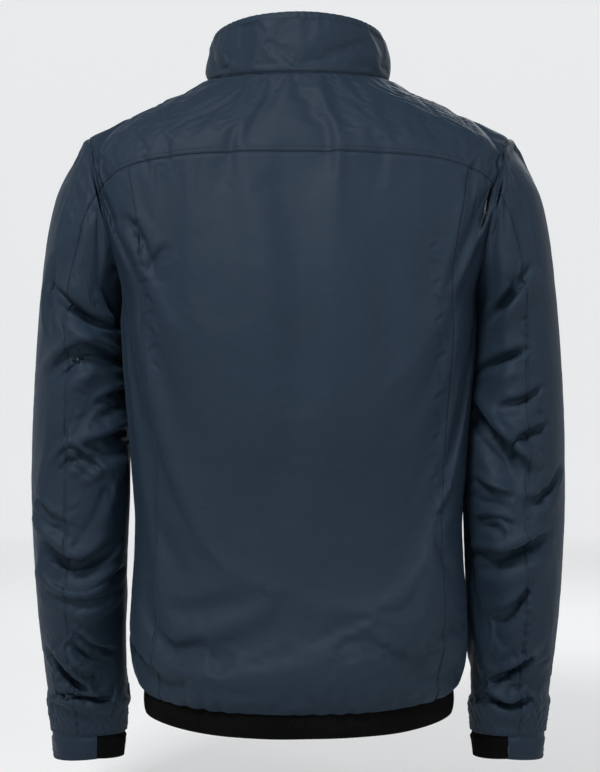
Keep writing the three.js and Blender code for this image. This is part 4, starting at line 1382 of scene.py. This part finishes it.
def rounded_box(low, high, bevel):
    """Verts and quads of a box with chamfered edges, as three nested rings each way."""
    low, high = np.array(low, float), np.array(high, float)
    steps = [np.array([low[k], low[k] + bevel, high[k] - bevel, high[k]]) for k in range(3)]
    verts, faces = [], []
    index = {}

    def vertex(i, j, k):
        if (i, j, k) not in index:
            point = np.array([steps[0][i], steps[1][j], steps[2][k]])
            inside = np.clip(point, low + bevel, high - bevel)
            away = point - inside
            size = np.linalg.norm(away)
            if size > 1e-9:
                point = inside + away / size * bevel
            index[(i, j, k)] = len(verts)
            verts.append(point)
        return index[(i, j, k)]

    for axis in range(3):
        b, c = (axis + 1) % 3, (axis + 2) % 3
        for end in (0, 3):
            for p in range(3):
                for q in range(3):
                    quad = []
                    for dp, dq in ((0, 0), (1, 0), (1, 1), (0, 1)):
                        key = [0, 0, 0]
                        key[axis], key[b], key[c] = end, p + dp, q + dq
                        quad.append(vertex(*key))
                    faces.append(quad if end else quad[::-1])
    return np.array(verts), np.array(faces)


def tooth_shape():
    """One moulded tooth: a head that hooks between its neighbours, and a foot on the tape."""
    head = rounded_box((-0.75, CHAIN_FRONT, -0.62), (1.1, CHAIN_BACK, 0.62), 0.3)
    foot = rounded_box((0.9, CHAIN_FRONT + 0.25, -0.95), (3.0, CHAIN_BACK - 0.1, 0.95), 0.35)
    return np.concatenate([head[0], foot[0]]), np.concatenate([head[1], foot[1] + len(head[0])])


def teeth(name, side, z_low, z_high, axes, origin, lift=0.0):
    """A side of a zip's teeth, hooked between those of the other side."""
    verts, faces = tooth_shape()
    verts = verts * np.array([side, 1, 1]) + np.array([0, lift, 0])
    if side < 0:
        faces = faces[:, ::-1]
    count = int((z_high - z_low) / TOOTH_PITCH)
    places = z_low + (np.arange(count) + (0.25 if side > 0 else 0.75)) * TOOTH_PITCH
    every = verts[None] + np.stack([np.zeros(count), np.zeros(count), places], -1)[:, None]
    all_faces = faces[None] + (np.arange(count) * len(verts))[:, None, None]
    points = placed(every.reshape(-1, 3), axes, origin) * MM
    return make_object(f"{name}_moulded", points, all_faces.reshape(-1, 4))


def strip(name, x0, x1, y, z0, z1, thickness, axes, origin, columns=8, pitch=8.0, wave=0.0, seed=1):
    """A strip of tape or cloth lying in a zip's frame, its face towards -y."""
    x = np.linspace(x0, x1, columns)[:, None]
    z = np.linspace(z0, z1, max(3, int((z1 - z0) / pitch)))[None, :]
    grid = np.stack(np.broadcast_arrays(x, np.full((1, 1), y), z), -1).astype(float)
    grid[..., 1] += wave * ripple(grid, 30, seed)
    points = placed(grid, axes, origin)
    obj = sheet_object(name, points, grid_normals(points), thickness)
    return obj, points


def bevelled(node, material, body, width):
    """A copy of a CAD piece's mesh with its edges rounded over, standing for the piece."""
    mesh = bpy.data.objects[node].data.copy()
    obj = bpy.data.objects.new(f"{node}_finished", mesh)
    bpy.context.collection.objects.link(obj)
    made = bmesh.new()
    made.from_mesh(mesh)
    bmesh.ops.remove_doubles(made, verts=made.verts, dist=1e-6)
    bmesh.ops.dissolve_limit(made, angle_limit=0.02, verts=made.verts, edges=made.edges)
    sharp = [e for e in made.edges if len(e.link_faces) == 2 and e.calc_face_angle() > 0.5]
    bmesh.ops.bevel(
        made, geom=sharp, offset=width, segments=2, profile=0.6, affect="EDGES", clamp_overlap=True
    )
    bmesh.ops.triangulate(made, faces=made.faces)
    made.to_mesh(mesh)
    made.free()
    mesh.polygons.foreach_set("use_smooth", [False] * len(mesh.polygons))
    return dress(obj, material, body, [node])


def build_main_zip():
    low = -ZIP_LENGTH + 10.5
    for side, sign in (("left", 1), ("right", -1)):
        row = teeth(f"zip_teeth_{side}", sign, low, -4.5, ZIP_AXES, ZIP_TOP)
        dress(row, plastic_mat, "torso", [f"zip_teeth_{side}"])
        ends = sorted((sign * TAPE_START, sign * TAPE_END))
        tape, _ = strip(f"zip_tape_{side}", *ends, TAPE_FRONT, -ZIP_LENGTH, -1, 0.7, ZIP_AXES, ZIP_TOP)
        dress(tape, tape_mat, "torso", [f"zip_tape_{side}"])
        bevelled(f"zip_top_stop_{side}", plastic_mat, "torso", 0.0003)
    bevelled("zip_retainer_box", plastic_mat, "torso", 0.0006)
    bevelled("zip_slider", metal_mat, "zip_slider", 0.00035)
    bevelled("zip_puller", metal_mat, "zip_puller", 0.0003)
    guard_y, flap_y = CHAIN_BACK + 2.6, CHAIN_BACK + 2.6 + 0.8
    half, guard = 16, 45
    flap, grid = strip("storm_flap", -half, half, flap_y, -ZIP_LENGTH, -guard - 0.4, 1.0,
                       ZIP_AXES, ZIP_TOP, 16, 6, 0.3, 8)
    dress(flap, shell_mat, "torso", ["storm_flap"])
    chin, grid = strip("chin_guard", -half, half, guard_y, -guard, -0.5, 1.4,
                       ZIP_AXES, ZIP_TOP, 16, 3, 0.25, 9)
    dress(chin, fleece_mat, "torso", ["chin_guard"])


build_main_zip()


# ---------- pockets ----------
POCKET_TOP = (1.66, -396.0)
POCKET_LOW = (1.47, -556.0)
POCKET_ZIP_HALF = 75.0
POCKET_LIFT = -2.6
WELT_HALF, SLOT_HALF, WELT_Y = 11.0, 5.5, -4.0


def front_at(u, z):
    return torso(np.array([[u]]), np.array([[z - SHOULDER_Z]]), False)[0, 0]


def pocket_frame():
    """The wearer's left pocket zip: its axes as rows, and its origin."""
    top, low = front_at(*POCKET_TOP), front_at(*POCKET_LOW)
    middle = front_at(*((a + b) / 2 for a, b in zip(POCKET_TOP, POCKET_LOW)))
    up = (top - low) / np.linalg.norm(top - low)
    top_u, low_z = POCKET_TOP[0], POCKET_LOW[1]
    across = front_at(top_u - 0.1, low_z) - front_at(top_u, low_z)
    inward = np.cross(up, across)
    inward /= np.linalg.norm(inward)
    axes = np.stack([np.cross(inward, up), inward, up])
    return axes, middle - inward * 0.6


def welt_grid():
    """A padded lip round the slot: its first axis goes round, its second from the slot outwards."""
    around, across = 120, 12
    angle = np.arange(around) * 2 * math.pi / around
    share = np.linspace(0, 1, across)
    half_long = POCKET_ZIP_HALF + lerp(1.0, 8.0, share)
    half_wide = lerp(SLOT_HALF, WELT_HALF, share)
    c, s = np.cos(angle)[:, None], np.sin(angle)[:, None]
    power = 0.18
    x = half_wide * np.sign(c) * np.abs(c) ** power
    z = half_long * np.sign(s) * np.abs(s) ** power
    crown = 0.9 * np.sin(math.pi * share) ** 0.5
    y = np.broadcast_to(WELT_Y + 0.9 - crown, x.shape)
    return np.stack([x, y, z], -1)


def build_pocket(side, front):
    axes, origin = pocket_frame()
    if side == "right":
        axes, origin = axes * MIRROR, origin * MIRROR
    grid = placed(welt_grid(), axes, origin)
    normals = grid_normals(grid, closed=True)
    if (normals @ axes[1]).mean() > 0:
        grid = grid[::-1]
        normals = grid_normals(grid, closed=True)
    welt = sheet_object(f"pocket_welt_{side}", grid, normals, 1.6, closed=True)
    dress(welt, shell_mat, "torso", [f"pocket_welt_{side}"])
    paths = []
    for lane in (3, 9):
        paths.append([np.concatenate([rings[:, lane], rings[:1, lane]]) for rings in (grid, normals)])
    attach(stitches(f"stitches_pocket_{side}", paths), "torso")
    end = POCKET_ZIP_HALF - 2
    for k, (way, nodes) in enumerate(((1, [f"pocket_zip_{side}"]), (-1, ()))):
        half = teeth(f"pocket_zip_{side}_{k}", way, -end, end, axes, origin, POCKET_LIFT)
        dress(half, plastic_mat, "torso", nodes)
    for k, (x0, x1) in enumerate(((-5.8, -2.6), (2.6, 5.8))):
        tape, _ = strip(
            f"pocket_tape_{side}_{k}", x0, x1, 0.3, -end - 2, end + 2, 0.6, axes, origin, 4
        )
        dress(tape, tape_mat, "torso")
    for word in ("slider", "puller"):
        name = f"pocket_{word}_{side}"
        bevelled(name, metal_mat, name, 0.0003)
    columns = slice(8, -10) if side == "left" else slice(10, -8)
    bag = relaxed(front, 6)[columns, 7:38]
    name = f"pocket_bag_{side}"
    inner_layer(name, bag, 2.6, 1.0, lining_mat, [name])


for index, side in ((1, "left"), (2, "right")):
    build_pocket(side, torso_settled[index])


# ---------- hanger loop ----------
def build_hanger_loop():
    span, drop, width = 30.0, 12.0, 7.0
    radius = span / 2 - 0.8
    angle = np.linspace(0, math.pi, 25)
    arch = np.stack([radius * np.cos(angle), -span / 2 + radius * np.sin(angle)], -1)
    legs = np.linspace(drop, 0.5, 6)
    right = np.stack([np.full(len(legs), radius), -span / 2 - legs], -1)
    left = np.stack([np.full(len(legs), -radius), -span / 2 - legs[::-1]], -1)
    path = np.concatenate([right, arch, left])
    y = np.linspace(-width / 2, width / 2, 7)
    points = np.zeros((len(path), len(y), 3))
    points[..., 0] = path[:, None, 0]
    points[..., 1] = y[None, :]
    points[..., 2] = path[:, None, 1]
    points += grid_normals(points) * (0.8 + 0.15 * ripple(points, 6, 2))[..., None]
    obj = sheet_object("hanger_loop", points, grid_normals(points), 1.5)
    dress(obj, tape_mat, "torso", ["hanger_loop"])


build_hanger_loop()
